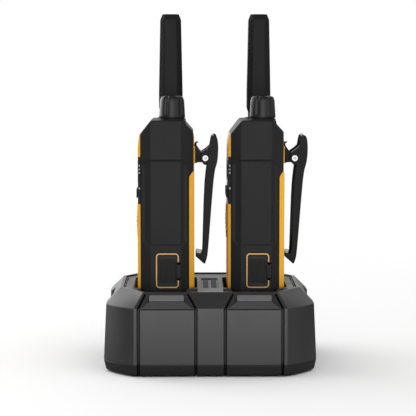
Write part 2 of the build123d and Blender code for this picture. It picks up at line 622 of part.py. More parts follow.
def dock_centre_plate():
    """Small ribbed plate between the two bays."""
    plate = block(-5.9, 5.9, -24.9, 16.9, TRAY_TOP - 0.8, TRAY_TOP - 0.2)
    ribs = [block(side * 1.0, side * 4.6, y - 0.5, y + 0.5, TRAY_TOP - 0.2, TRAY_TOP + 0.25)
            for side in (-1, 1) for y in [-21.5 + 2.6 * row for row in range(14)]]
    return joined([plate] + ribs)


def dock_base():
    """Lower moulding: floor and the tapered band that the dock stands on."""
    outer = stack([(FOOT_HEIGHT, octagon(BAND_FOOT)), (BAND_TOP, octagon(BAND_EDGE))])
    inner = prism_z(octagon(BAND_FOOT, 2.6), 3.6, BAND_TOP + 1)
    base = outer - inner
    for x, y in POST_PLACES:
        base = base + rod_z(3.0, 9.0, x, y, 3.4)
    for x, y in BOSS_PLACES:
        base = base + (rod_z(2.0, BAND_TOP, x, y, 4.2) & outer)
        base = base - rod_z(0, 10, x, y, 1.6) - rod_z(0, 3.0, x, y, 3.1)
    for x, y in FOOT_PLACES:
        base = base - rod_z(0, 2.0, x, y, 6.1)
    for cut in front_grooves():
        base = base - cut
    return base


def dock_feet():
    """Four rubber feet let into the floor."""
    feet = []
    for x, y in FOOT_PLACES:
        foot = rod_z(0, 2.0, x, y, 6.0)
        feet.append(chamfer(foot.edges().sort_by(Axis.Z)[0], 0.4))
    return feet


def dock_screws():
    """Four screws that draw the base up to the shell's bosses."""
    screws = []
    for x, y in BOSS_PLACES:
        screw = rod_z(1.3, 3.0, x, y, 2.9) + rod_z(3.0, 20, x, y, 1.5)
        screw = screw - block(x - 1.9, x + 1.9, y - 0.4, y + 0.4, 1, 2.2)
        screws.append(screw - block(x - 0.4, x + 0.4, y - 1.9, y + 1.9, 1, 2.2))
    return screws


def dock_board():
    """Charging circuit board on the base's posts, with two chips and a coil."""
    board = block(-50, 50, -44, 44, 9.0, 10.6)
    parts = [block(-6, 6, -20, -8, 10.6, 12.2), block(-5, 5, 4, 12, 10.6, 12.6),
             rod_z(10.6, 14.6, 0, 26, 6.0)]
    return joined([board] + parts)


def dock_contact_pins():
    """Two charging pins for each bay, from the board to the pocket floor."""
    pins = []
    for centre in BAY_CENTRES:
        for side in (-1, 1):
            barrel = rod_z(10.6, 20.8, centre, side * CONTACT_Y, 2.0)
            tip = rod_z(20.8, RADIO_BASE + 0.4, centre, side * CONTACT_Y, 1.2)
            pins.append(barrel + tip)
    return pins


def dock_power_socket():
    """Round low voltage inlet in the rear wall."""
    body = block(-6, 6, 46, 59.7, 12.0, 22.0)
    return body - rod_y(50, 62, 0, 17.0, 3.2) + rod_y(49.5, 57.5, 0, 17.0, 0.9)


def dock_nodes():
    return {"dock_shell": dock_shell(), "dock_tray": dock_tray(),
            "dock_centre_plate": dock_centre_plate(), "dock_base": dock_base(),
            "dock_feet": dock_feet(), "dock_screws": dock_screws(), "dock_board": dock_board(),
            "dock_contact_pins": dock_contact_pins(), "dock_power_socket": dock_power_socket(),
            "dock_status_lights": [status_lights(side) for side in (-1, 1)]}


# ---------------------------------------------------------------- write every node
def placed(shape, x):
    """Move a node, given as one shape or a list of separate solids, along x."""
    solids = []
    for piece in shape if isinstance(shape, list) else [shape]:
        solids += [Pos(x, 0, 0) * solid for solid in piece.solids()]
    return solids[0] if len(solids) == 1 else Compound(children=solids)


def build():
    nodes = {name: placed(shape, 0) for name, shape in dock_nodes().items()}
    radio = radio_nodes()
    for side, centre in zip(("left", "right"), BAY_CENTRES):
        for name, shape in radio.items():
            nodes[f"{side}_{name}"] = placed(shape, centre)
    return nodes


os.makedirs("parts", exist_ok=True)
for node_name, node_shape in build().items():
    export_step(node_shape, f"parts/{node_name}.step")
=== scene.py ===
import math

import bmesh
import bpy
import numpy as np
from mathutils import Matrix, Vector


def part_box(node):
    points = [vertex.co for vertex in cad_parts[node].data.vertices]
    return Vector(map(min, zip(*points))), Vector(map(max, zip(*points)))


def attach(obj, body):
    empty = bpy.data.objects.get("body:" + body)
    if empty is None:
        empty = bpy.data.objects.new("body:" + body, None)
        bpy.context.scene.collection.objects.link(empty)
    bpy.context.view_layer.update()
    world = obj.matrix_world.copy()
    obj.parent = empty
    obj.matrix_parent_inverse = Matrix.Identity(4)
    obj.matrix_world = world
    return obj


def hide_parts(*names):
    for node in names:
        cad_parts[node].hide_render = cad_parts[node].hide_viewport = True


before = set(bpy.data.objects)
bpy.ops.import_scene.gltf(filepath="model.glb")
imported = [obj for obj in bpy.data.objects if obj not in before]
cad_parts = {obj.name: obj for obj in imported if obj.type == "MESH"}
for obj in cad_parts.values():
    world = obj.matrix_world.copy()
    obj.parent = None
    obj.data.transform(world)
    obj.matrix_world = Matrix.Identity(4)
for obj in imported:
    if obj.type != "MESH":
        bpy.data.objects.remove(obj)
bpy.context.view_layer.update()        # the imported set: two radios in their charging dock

bl_info = {
    "name": "Two Way Radio Set",
    "version": (1, 0, 0),
    "blender": (4, 5, 0),
    "location": "View3D > Sidebar > Radio Set",
    "description": "Finished surfaces and materials of two rugged radios in a charging dock",
    "category": "Object",
}

MM = 0.001
SIDES = ("left", "right")


def node_box(node):
    """Lowest and highest corner of a node at rest, in millimetres."""
    low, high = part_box(node)
    return np.array(low) / MM, np.array(high) / MM


# ---- places read from the frame, in millimetres, about each radio's own centre plane
PAD_LOW, PAD_HIGH = node_box("left_charge_contacts")
CENTRES = {"left": float(PAD_LOW[0] + PAD_HIGH[0]) / 2}
CENTRES["right"] = -CENTRES["left"]


def radio_box(node):
    """A radio node's box with x counted from the radio's centre plane."""
    low, high = node_box("left_" + node)
    shift = np.array([CENTRES["left"], 0, 0])
    return low - shift, high - shift


CASE_LOW, CASE_HIGH = radio_box("case")
FRONT_LOW, FRONT_HIGH = radio_box("front_cover")
BACK_LOW, BACK_HIGH = radio_box("back_cover")
LENS_LOW, LENS_HIGH = radio_box("display_lens")
GRILLE_LOW, GRILLE_HIGH = radio_box("speaker_grille")
GRILLE_MIDDLE = (GRILLE_LOW[2] + GRILLE_HIGH[2]) / 2
TRIM_LOW, TRIM_HIGH = radio_box("port_trim")
COVER_LOW, COVER_HIGH = radio_box("port_cover")
JACK_LOW, JACK_HIGH = radio_box("accessory_jack")
TALK_LOW, TALK_HIGH = radio_box("ptt_button")
KNOB_LOW, KNOB_HIGH = radio_box("knob")
WHIP_LOW, WHIP_HIGH = radio_box("antenna")
CLIP_HALF = radio_box("clip_arm")[1][1]     # half the belt clip's width
PIN_LOW, PIN_HIGH = radio_box("clip_pin")
SHELL_LOW, SHELL_HIGH = node_box("dock_shell")

HALF_WIDTH = CASE_HIGH[1]
SEAT_FRONT = FRONT_HIGH[0]                  # where the front cover meets the body
SEAT_BACK = BACK_LOW[0]                     # where the battery cover meets the body
UPPER_BACK = CASE_HIGH[0]                   # back of the body above the battery cover
FACE_FRONT, FACE_BACK = -18.35, BACK_HIGH[0]
PANEL_FACE = -18.1                          # face of the black control panel
PANEL_Z = (111.0, 142.7)                    # the black control panel's height range
BODY_LOW, COLLAR_TOP = CASE_LOW[2], CASE_HIGH[2]
BODY_TOP = COLLAR_TOP - 0.8
FLAT_FRONT, FLAT_BACK = -9.6, 11.0          # ends of the side flat
CORNER_FRONT, CORNER_BACK = FRONT_HIGH[1], BACK_HIGH[1]
SUNK_LOW, SUNK_HIGH, SUNK_DEPTH = 83.0, 141.2, 1.0      # the grip panel in the body's sides
STEP_LOW, STEP_HIGH = 129.4, 133.2          # where the back steps out above the battery cover


# ---------------------------------------------------------------- shapes
def smooth(value, low, high):
    """Three-two smoothstep of value between low and high."""
    t = np.clip((value - low) / (high - low), 0, 1)
    return t * t * (3 - 2 * t)


def spread(*stretches):
    """Sorted positions, from several (start, end, count) stretches."""
    return np.unique(np.concatenate([np.linspace(*s) for s in stretches]).round(4))


def rounded_corners(corners, radius, steps):
    """Corners (rows, n, 2), counter-clockwise, turned into arcs of the given radius.

    Each corner moves in to where the two sides, drawn in by the radius, cross; the arc is that
    point plus the radius times the unit vector that turns from one side's normal to the next's."""
    corners = np.asarray(corners, float)
    radius = np.broadcast_to(np.asarray(radius, float), corners.shape[:1])[:, None, None]
    side = np.roll(corners, -1, axis=1) - corners
    side /= np.linalg.norm(side, axis=2, keepdims=True)
    normal = np.stack([side[..., 1], -side[..., 0]], axis=2)
    before = np.roll(normal, 1, axis=1)
    along = (before * normal).sum(2, keepdims=True)
    centre = corners - radius * (before + normal) / (1 + along)
    start = np.arctan2(before[..., 1], before[..., 0])
    turn = np.arctan2(normal[..., 1], normal[..., 0]) - start
    turn = (turn + math.pi) % (2 * math.pi) - math.pi
    angle = start[..., None] + turn[..., None] * np.linspace(0, 1, steps)
    arc = np.stack([np.cos(angle), np.sin(angle)], axis=3)
    return centre[:, :, None, :] + radius[..., None] * arc


def outline(corners, radius, steps=5, between=None):
    """Closed outline (rows, columns, 2): arcs at the corners and extra points on the sides.

    between maps a side's number to shares of that side, from 0 to 1."""
    arcs = rounded_corners(corners, radius, steps)
    columns = []
    count = arcs.shape[1]
    for corner in range(count):
        columns.append(arcs[:, corner])
        shares = (between or {}).get(corner)
        if shares is not None:
            start = arcs[:, corner, -1][:, None, :]
            end = arcs[:, (corner + 1) % count, 0][:, None, :]
            columns.append(start + (end - start) * np.asarray(shares)[None, :, None])
    return np.concatenate(columns, axis=1)


def grid_faces(rows, columns, wrap_rows):
    """Quads of a grid whose columns close on themselves."""
    r = np.arange(rows if wrap_rows else rows - 1)[:, None]
    c = np.arange(columns)[None, :]
    below, above = r * columns, ((r + 1) % rows) * columns
    right = (c + 1) % columns
    quads = np.stack([below + c, below + right, above + right, above + c], axis=2)
    return quads.reshape(-1, 4)


def surface(points, wrap_rows=False):
    """(vertices, faces) of a tube-like grid (rows, columns, 3), closed by a fan at each end."""
    rows, columns = points.shape[:2]
    vertices = points.reshape(-1, 3)
    faces = grid_faces(rows, columns, wrap_rows).tolist()
    if not wrap_rows:
        ends = np.stack([points[0].mean(0), points[-1].mean(0)])
        first, last = len(vertices), len(vertices) + 1
        vertices = np.concatenate([vertices, ends])
        ring = np.arange(columns)
        after = (ring + 1) % columns
        top = (rows - 1) * columns
        faces += np.stack([after, ring, np.full(columns, first)], axis=1).tolist()
        faces += np.stack([top + ring, top + after, np.full(columns, last)], axis=1).tolist()
    return vertices, outward(vertices, faces)


def outward(vertices, faces):
    """The faces, turned over if the closed surface's signed volume is negative."""
    fan = np.array([(f[0], f[i], f[i + 1]) for f in faces for i in range(1, len(f) - 1)])
    a, b, c = (vertices[fan[:, k]] for k in range(3))
    if (a * np.cross(b, c)).sum() < 0:
        return [face[::-1] for face in faces]
    return faces


def joined(parts):
    """One (vertices, faces) pair out of several."""
    vertices, faces, offset = [], [], 0
    for part_vertices, part_faces in parts:
        vertices.append(part_vertices)
        faces += [[index + offset for index in face] for face in part_faces]
        offset += len(part_vertices)
    return np.concatenate(vertices), faces


def piece(name, part, material, body, replaced=(), slot=None, shift=0.0, sharp=38.0):
    """Puts a (vertices, faces) pair, in millimetres, into the scene as a finished piece."""
    vertices, faces = part
    placed = (vertices + np.array([shift, 0, 0])) * MM
    mesh = bpy.data.meshes.new(name)
    mesh.from_pydata(placed.tolist(), [], faces)
    mesh.polygons.foreach_set("use_smooth", np.ones(len(mesh.polygons), bool))
    mesh.set_sharp_from_angle(angle=math.radians(sharp))
    mesh.update()
    mesh.validate()
    made = bpy.data.objects.new(name, mesh)
    bpy.context.scene.collection.objects.link(made)
    made.data.materials.append(material)
    weighted = made.modifiers.new("Even normals", "WEIGHTED_NORMAL")
    weighted.keep_sharp = True
    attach(made, body)
    if replaced:
        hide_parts(*replaced)
    return made


def softened(name, node, material, body, width):
    """A node's own mesh, merged, with its sharp edges bevelled by width millimetres."""
    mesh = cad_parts[node].data.copy()
    mesh.name = name
    shape = bmesh.new()
    shape.from_mesh(mesh)
    bmesh.ops.remove_doubles(shape, verts=shape.verts, dist=1e-6)
    bmesh.ops.dissolve_limit(shape, angle_limit=math.radians(1.5), verts=shape.verts,
                             edges=shape.edges)
    shape.to_mesh(mesh)
    shape.free()
    made = bpy.data.objects.new(name, mesh)
    bpy.context.scene.collection.objects.link(made)
    mesh.materials.clear()
    mesh.materials.append(material)
    mesh.polygons.foreach_set("use_smooth", np.ones(len(mesh.polygons), bool))
    mesh.set_sharp_from_angle(angle=math.radians(30))
    bevel = made.modifiers.new("Soft edges", "BEVEL")
    bevel.width = width * MM
    bevel.segments = 2
    bevel.limit_method = "ANGLE"
    bevel.angle_limit = math.radians(28)
    bevel.harden_normals = True
    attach(made, body)
    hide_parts(node)
    return made


def turned(profile, centre, segments=64, ripple=None):
    """Surface of revolution: a (radius, height) profile turned about a vertical axis.

    ripple(angle, radius, height) returns the radius to use, for flutes."""
    profile = np.asarray(profile, float)
    angle = np.linspace(0, 2 * math.pi, segments, endpoint=False)[None, :]
    radius = profile[:, :1] + 0 * angle
    height = profile[:, 1:] + 0 * angle
    if ripple:
        radius = ripple(angle, radius, height)
    x = centre[0] + radius * np.cos(angle)
    y = centre[1] + radius * np.sin(angle)
    return surface(np.stack([x, y, height], axis=2))


def edge_round(low, high, radius, steps=5):
    """Levels from low to high with quarter circle ends: (level, how far the outline draws in)."""
    angle = np.linspace(0, math.pi / 2, steps)
    rise, draw = radius * (1 - np.sin(angle)), radius * (1 - np.cos(angle))
    start = np.stack([low + rise[::-1], draw[::-1]], 1)
    end = np.stack([high - rise, draw], 1)
    return np.concatenate([start, end])


def along(axis, plane, level):
    """Places outline coordinates (.., 2) on planes across the named axis at the given levels."""
    level = np.broadcast_to(level, plane.shape[:-1])
    a, b = plane[..., 0], plane[..., 1]
    order = {"x": (level, a, b), "y": (a, level, b), "z": (a, b, level)}[axis]
    return np.stack(order, axis=-1)


def drawn_in(corners, inset):
    """Corners (n, 2) moved in along their bisectors by each row's inset: gives (rows, n, 2)."""
    corners = np.asarray(corners, float)
    side = np.roll(corners, -1, axis=0) - corners
    side /= np.linalg.norm(side, axis=1, keepdims=True)
    normal = np.stack([side[:, 1], -side[:, 0]], axis=1)
    before = np.roll(normal, 1, axis=0)
    step = (before + normal) / (1 + (before * normal).sum(1, keepdims=True))
    return corners[None] - np.asarray(inset)[:, None, None] * step[None]


def slab(corners, axis, low, high, radius, edge, steps=5, crown=0.0):
    """Flat piece with rounded corners and rounded rims.

    The outline, drawn in by a quarter circle near each end, is carried along the axis; a crown
    raises the far face's middle by closing it over two more, smaller outlines."""
    levels = edge_round(low, high, edge)
    plane = outline(drawn_in(corners, levels[:, 1]), np.maximum(radius - levels[:, 1], 0.08), steps)
    points = along(axis, plane, levels[:, :1])
    if crown:
        middle = plane[-1].mean(0)
        shares = np.array([0.75, 0.5, 0.25])
        inner = middle + (plane[-1][None] - middle) * shares[:, None, None]
        rise = high + crown * (1 - shares ** 2)
        points = np.concatenate([points, along(axis, inner, rise[:, None])])
    return surface(points)


def box_corners(a0, a1, b0, b1):
    """Rectangle, counter-clockwise."""
    return [(a0, b0), (a1, b0), (a1, b1), (a0, b1)]


# ---------------------------------------------------------------- materials
def new_group(name, inputs, outputs):
    """Empty node group with named sockets: each is (name, socket type, default)."""
    group = bpy.data.node_groups.new(name, "ShaderNodeTree")
    for label, kind, default in inputs:
        socket = group.interface.new_socket(label, in_out="INPUT", socket_type=kind)
        if default is not None:
            socket.default_value = default
    for label, kind in outputs:
        group.interface.new_socket(label, in_out="OUTPUT", socket_type=kind)
    source = group.nodes.new("NodeGroupInput")
    sink = group.nodes.new("NodeGroupOutput")
    return group, source, sink


def feed(tree, node, inputs):
    """Sets or links a node's inputs, from socket names or numbers to values or outputs."""
    for socket, value in inputs.items():
        if isinstance(value, bpy.types.NodeSocket):
            tree.links.new(value, node.inputs[socket])
        else:
            node.inputs[socket].default_value = value


def add(tree, kind, inputs=None, **settings):
    """New shader node with its own settings made and its inputs fed."""
    node = tree.nodes.new("ShaderNode" + kind)
    for name, value in settings.items():
        setattr(node, name, value)
    feed(tree, node, inputs or {})
    return node


def maths(tree, operation, first, second=None, clamp=False):
    """Output of a new math node; each operand is a number or another node's output."""
    operands = {0: first} if second is None else {0: first, 1: second}
    return add(tree, "Math", operands, operation=operation, use_clamp=clamp).outputs[0]


def grain_group():
    """Moulded grain: fine cells for the height and broad clouds for the tone."""
    if "Moulded grain" in bpy.data.node_groups:
        return bpy.data.node_groups["Moulded grain"]
    group, source, sink = new_group(
        "Moulded grain",
        [("Vector", "NodeSocketVector", None), ("Grain per metre", "NodeSocketFloat", 1800.0),
         ("Cloud per metre", "NodeSocketFloat", 45.0)],
        [("Height", "NodeSocketFloat"), ("Clouds", "NodeSocketFloat")])
    place, per_metre = source.outputs["Vector"], source.outputs["Grain per metre"]
    cells = add(group, "TexVoronoi", {"Vector": place, "Scale": per_metre}, feature="SMOOTH_F1")
    finer = maths(group, "MULTIPLY", per_metre, 0.6)
    fine = add(group, "TexNoise", {"Vector": place, "Scale": finer, "Detail": 3.0})
    cloud = add(group, "TexNoise", {
        "Vector": place, "Scale": source.outputs["Cloud per metre"], "Detail": 4.0,
        "Roughness": 0.62})
    height = maths(group, "ADD", cells.outputs["Distance"], fine.outputs["Fac"])
    feed(group, sink, {"Height": height, "Clouds": cloud.outputs["Fac"]})
    return group


def wear_and_crevice_shade_group():
    """Edge wear: how far a softened normal turns from the true one, broken up by noise.

    It also gives painted crevice shade: a factor from ambient occlusion that is 1 on open faces and
    falls in seams and crevices, so a finish darkens its colour and its specular level there."""
    if "Edge wear and painted crevice shade" in bpy.data.node_groups:
        return bpy.data.node_groups["Edge wear and painted crevice shade"]
    group, source, sink = new_group(
        "Edge wear and painted crevice shade",
        [("Vector", "NodeSocketVector", None), ("Radius", "NodeSocketFloat", 0.0006),
         ("Amount", "NodeSocketFloat", 0.5)],
        [("Mask", "NodeSocketFloat"), ("Soft normal", "NodeSocketVector"),
         ("Painted shade factor", "NodeSocketFloat")])
    soft = add(group, "Bevel", {"Radius": source.outputs["Radius"]}, samples=6).outputs["Normal"]
    true = add(group, "NewGeometry").outputs["Normal"]
    dot = add(group, "VectorMath", {0: soft, 1: true}, operation="DOT_PRODUCT")
    noise = add(group, "TexNoise", {
        "Vector": source.outputs["Vector"], "Scale": 160.0, "Detail": 5.0})
    turned_away = maths(group, "SUBTRACT", 1.0, dot.outputs["Value"])
    sharpened = maths(group, "MULTIPLY", turned_away, 9.0, clamp=True)
    patches = maths(group, "MULTIPLY", noise.outputs["Fac"], 1.4)
    broken = maths(group, "MULTIPLY", sharpened, patches)
    mask = maths(group, "MULTIPLY", broken, source.outputs["Amount"], clamp=True)
    # painted shade: ambient occlusion turned into a factor that darkens seams and crevices
    shelter = add(group, "AmbientOcclusion", {"Distance": 0.0035}, samples=6)
    painted_shade_factor = remap(group, shelter.outputs["AO"], (0.25, 0.85), (0.15, 1.0))
    feed(group, sink, {"Mask": mask, "Soft normal": soft, "Painted shade factor": painted_shade_factor})
    return group


def remap(tree, value, source, target=(0.0, 1.0), soft=False):
    """Value carried from one range to another and clamped; soft eases both ends."""
    ends = dict(zip(("From Min", "From Max", "To Min", "To Max"), (*source, *target)))
    node = add(tree, "MapRange", {"Value": value, **ends},
               interpolation_type="SMOOTHSTEP" if soft else "LINEAR")
    return node.outputs["Result"]


def blend(tree, factor, first, second):
    """Colour mixed by a factor; first and second are colours or other nodes' outputs."""
    first, second = ((*colour, 1) if isinstance(colour, tuple) else colour
                     for colour in (first, second))
    node = add(tree, "Mix", data_type="RGBA")
    feed(tree, node, {"Factor": factor, "A": first, "B": second})
    return node.outputs["Result"]


def new_material(name):
    """New material, with its node tree, its shader and its object coordinates."""
    made = bpy.data.materials.new(name)
    made.use_nodes = True
    tree = made.node_tree
    return made, tree, tree.nodes["Principled BSDF"], add(tree, "TexCoord").outputs["Object"]


BUMP_HEIGHT = 0.0002                        # depth of every grain, in metres


def moulded(name, colour, rough, spec=0.5, grain=1500.0, depth=0.06, clouds=45.0, tone=0.12,
            wear=0.25, worn=None, edge=0.0004, coat=0.0, rough_swing=0.10, metal=0.0):
    """Moulded or painted finish: clouded base colour, lighter rubbed edges, painted shade that
    darkens the colour and the specular level in seams and crevices, grained normal.

    tone is how much the clouds lighten and darken, rough_swing how much they change the gloss,
    wear how far the edges turn to the worn colour and edge the width of that, in metres."""
    if name in bpy.data.materials:
        return bpy.data.materials[name]
    made, tree, shader, place = new_material(name)
    grained = add(tree, "Group", node_tree=grain_group())
    feed(tree, grained, {"Vector": place, "Grain per metre": grain, "Cloud per metre": clouds})
    wear_and_shade = add(tree, "Group", node_tree=wear_and_crevice_shade_group())
    feed(tree, wear_and_shade, {"Vector": place, "Radius": edge, "Amount": wear})
    base = np.array(colour[:3])
    clouded = blend(tree, grained.outputs["Clouds"], tuple(base * (1 - tone)),
                    tuple(np.minimum(base * (1 + tone), 1)))
    lighter = tuple(np.minimum(base * 2.2 + 0.01, 1))
    rubbed = blend(tree, wear_and_shade.outputs["Mask"], clouded, worn or lighter)
    # painted crevice shade: the colour scaled down where ambient occlusion falls
    painted_shade_colour = add(tree, "VectorMath", {0: rubbed, "Scale": wear_and_shade.outputs["Painted shade factor"]},
                    operation="SCALE")
    swing = (max(rough - rough_swing / 2, 0.02), min(rough + rough_swing / 2, 1.0))
    bump = add(tree, "Bump", {"Strength": depth, "Distance": BUMP_HEIGHT,
                              "Height": grained.outputs["Height"],
                              "Normal": wear_and_shade.outputs["Soft normal"]})
    feed(tree, shader, {
        "Base Color": painted_shade_colour.outputs["Vector"],
        # the specular level is cut by the same painted crevice shade
        "Specular IOR Level": maths(tree, "MULTIPLY", wear_and_shade.outputs["Painted shade factor"], spec),
        "Roughness": remap(tree, grained.outputs["Clouds"], (0.3, 0.7), swing),
        "Normal": bump.outputs["Normal"], "Metallic": metal,
        "Coat Weight": coat, "Coat Roughness": 0.08})
    return made


def shade(colour, share):
    """A colour scaled towards black."""
    return tuple(channel * share for channel in colour)


def finishes():
    """Every finish of the set, by name. Colours come from the panel's properties."""
    look = bpy.context.scene.radio_set_finish
    body, shell = tuple(look.body_colour), tuple(look.shell_colour)
    dock, trim = tuple(look.dock_colour), tuple(look.trim_colour)
    return {
        "body": moulded("Body black", shade(body, 0.8), 0.46, spec=0.17, grain=2200, depth=0.10),
        "panel": moulded("Panel black", shade(body, 0.8), 0.42, spec=0.4, depth=0.04),
        "shell": moulded("Shell yellow", shell, 0.38, spec=0.32, tone=0.05, depth=0.04,
                         wear=0.15, worn=(0.95, 0.62, 0.22)),
        "trim": moulded("Trim line", trim, 0.4, spec=0.5, tone=0.08, depth=0.03, wear=0.1),
        "rubber": moulded("Soft rubber", shade(body, 1.1), 0.62, spec=0.35, grain=2600,
                          depth=0.14),
        "antenna": moulded("Antenna rubber", shade(body, 0.5), 0.36, spec=0.11, grain=2400,
                           depth=0.08),
        "knob": moulded("Knob rubber", shade(body, 0.5), 0.3, spec=0.35, grain=2600, depth=0.08),
        "clip": moulded("Clip gloss", shade(body, 0.2), 0.18, spec=0.12, depth=0.015, coat=0.04,
                        wear=0.2, rough_swing=0.08),
        "lens": moulded("Smoked window", (0.008, 0.009, 0.011), 0.06, spec=0.6, depth=0.0,
                        coat=0.6, wear=0.05, rough_swing=0.03),
        "steel": moulded("Plated steel", (0.55, 0.55, 0.56), 0.3, grain=3000, depth=0.05,
                         tone=0.1, metal=1.0, wear=0.2),
        "pin": moulded("Bright pin", (0.92, 0.92, 0.92), 0.35, grain=3000, depth=0.03, tone=0.04,
                       metal=0.35, wear=0.1),
        "brass": moulded("Contact brass", (0.83, 0.6, 0.26), 0.25, depth=0.03, metal=1.0,
                         wear=0.2),
        "board": moulded("Solder mask", (0.012, 0.11, 0.045), 0.35, grain=700, depth=0.1,
                         clouds=220, tone=0.35),
        "battery": moulded("Battery wrap", (0.04, 0.08, 0.2), 0.35, depth=0.03, coat=0.2),
        "cone": moulded("Speaker cone", (0.018, 0.018, 0.018), 0.7, grain=900, depth=0.2),
        "mesh": woven("Speaker cloth"),
        "dock": moulded("Dock grey", dock, 0.36, spec=0.85, grain=1700, depth=0.05, tone=0.08,
                        wear=0.3),
        "base": moulded("Dock base grey", shade(dock, 0.62), 0.45, spec=0.4, grain=1700,
                        depth=0.06),
        "tray": moulded("Tray grey", shade(dock, 1.7), 0.4, spec=0.5, grain=1900, depth=0.06,
                        tone=0.08),
        "foot": moulded("Foot rubber", (0.02, 0.02, 0.02), 0.8, spec=0.3, depth=0.2),
        "light": moulded("Light bar lens", (0.14, 0.14, 0.145), 0.3, spec=0.6, depth=0.02,
                         coat=0.3, tone=0.05, wear=0.1),
        "mark": moulded("Printed mark", (0.72, 0.72, 0.72), 0.5, depth=0.02, tone=0.05, wear=0.0),
        "segment": moulded("Display segment", (0.16, 0.18, 0.17), 0.4, depth=0.0, tone=0.03,
                           wear=0.0),
    }


def woven(name):
    """Acoustic cloth: two crossed waves for the height, with painted shade that darkens the holes.
    """
    if name in bpy.data.materials:
        return bpy.data.materials[name]
    made, tree, shader, place = new_material(name)
    waves = [add(tree, "TexWave", {"Vector": place, "Scale": 450.0},
                 bands_direction=direction).outputs["Fac"] for direction in ("Y", "Z")]
    height = maths(tree, "MAXIMUM", *waves)
    bump = add(tree, "Bump", {"Distance": BUMP_HEIGHT, "Height": height})
    feed(tree, shader, {
        # painted shade: the low places between the threads get the darker colour
        "Base Color": blend(tree, height, (0.004, 0.004, 0.004), (0.035, 0.035, 0.035)),
        "Normal": bump.outputs["Normal"], "Roughness": 0.85})
    return made


def finish_node(node, material):
    """Gives a carried-over node its finish."""
    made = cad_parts[node]
    made.data.materials.clear()
    made.data.materials.append(material)


def finish_nodes(look, finish_of, prefix=""):
    """Gives each node its finish, from a table of node names to finish names."""
    for node, finish in finish_of.items():
        finish_node(prefix + node, look[finish])


def clad(look, side, rows):
    """Puts one radio's pieces in place.

    Each row is (name, part, finish, the moving body's name, the node replaced or None, slot,
    which is not used) and may end with the angle above which an edge stays sharp."""
    for name, part, finish, body, node, slot, *sharp in rows:
        piece(f"{side}_{name}", part, look[finish], f"{side}_{body}",
              [f"{side}_{node}"] if node else (), slot, CENTRES[side], *sharp)


# ---------------------------------------------------------------- radio surfaces
def facet_half_width(x):
    """Half width of the plan on the corner facets, at depth x."""
    fall_front = (HALF_WIDTH - CORNER_FRONT) / (FLAT_FRONT - SEAT_FRONT)
    fall_back = (HALF_WIDTH - CORNER_BACK) / (SEAT_BACK - FLAT_BACK)
    front = CORNER_FRONT + (x - SEAT_FRONT) * fall_front
    back = CORNER_BACK + (SEAT_BACK - x) * fall_back
    return np.where(np.asarray(x) < 0, front, back)


def eased(z, line, reach=0.7):
    """Broken line of (height, depth) points, averaged over a short reach to round its bends."""
    heights, depths = zip(*line)
    offsets = np.linspace(-reach, reach, 5)
    return np.mean([np.interp(z + offset, heights, depths) for offset in offsets], axis=0)


# the grip panel's outline: margins to the covers, size of its cut corners, width of its slope
SUNK_MARGINS, SUNK_CUT, SUNK_SLOPE = (1.2, 1.5), 3.2, (-0.2, 1.5)


def sunk_mask(x, z):
    """1 inside the sunk grip panel, whose outline has four cut corners, and 0 outside."""
    left, right = SEAT_FRONT + SUNK_MARGINS[0], SEAT_BACK - SUNK_MARGINS[1]
    across = np.minimum(x - left, right - x)
    upright = np.minimum(z - SUNK_LOW, SUNK_HIGH - z)
    corner = (across + upright - SUNK_CUT) / math.sqrt(2)
    return smooth(np.minimum(np.minimum(across, upright), corner), *SUNK_SLOPE)


def hole_mask(x, z, x0, x1, z0, z1, radius, ramp=0.1):
    """1 inside a rectangle with rounded corners and 0 outside, over a short ramp."""
    out_x = np.maximum(np.abs(x - (x0 + x1) / 2) - (x1 - x0) / 2 + radius, 0)
    out_z = np.maximum(np.abs(z - (z0 + z1) / 2) - (z1 - z0) / 2 + radius, 0)
    return 1 - smooth(np.hypot(out_x, out_z) - radius, -ramp, ramp)


def close_lines(places):
    """A stretch of five close lines about each place, where an edge has to stay crisp."""
    return [(place - 0.15, place + 0.15, 5) for place in places]


# the body's profile, foot to top, as (height, depth) points
FOOT_END, FOOT_DEPTH, HEAD_DEPTH = 26.4, 14.6, 14.0
FRONT_LINE = ((BODY_LOW, -FOOT_DEPTH), (FOOT_END, SEAT_FRONT), (158.3, SEAT_FRONT),
              (BODY_TOP, -9.2))
BACK_LINE = ((BODY_LOW, FOOT_DEPTH), (FOOT_END, SEAT_BACK), (STEP_LOW, SEAT_BACK),
             (STEP_HIGH, UPPER_BACK), (159.5, UPPER_BACK), (165.1, HEAD_DEPTH),
             (BODY_TOP, HEAD_DEPTH))
BODY_EDGE, BODY_CORNER = 1.1, 1.5           # rounding of the ends and of the upright corners
# hollows in the body's sides: (x, x, z, z), depth, corner radius
TALK_WINDOW = ((TALK_LOW[0] + 0.7, TALK_HIGH[0] - 0.7, TALK_LOW[2] + 0.9, TALK_HIGH[2] - 0.9),
               2.2, 2.4)
PORT_RECESS = ((TRIM_LOW[0] - 0.12, TRIM_HIGH[0] + 0.12, TRIM_LOW[2] - 0.12, TRIM_HIGH[2] + 0.12),
               1.35, 2.5)
JACK_WINDOW = ((JACK_LOW[0] - 0.2, JACK_HIGH[0] + 0.2, JACK_LOW[2] - 0.3, JACK_HIGH[2] + 0.3),
               2.05, 0.3)
HINGE_NOTCH = ((TRIM_HIGH[0] - 1.5, FLAT_BACK - 0.2, 60.4, 71.6), 1.0, 0.3)
HOLLOWS = (TALK_WINDOW, PORT_RECESS, JACK_WINDOW, HINGE_NOTCH)


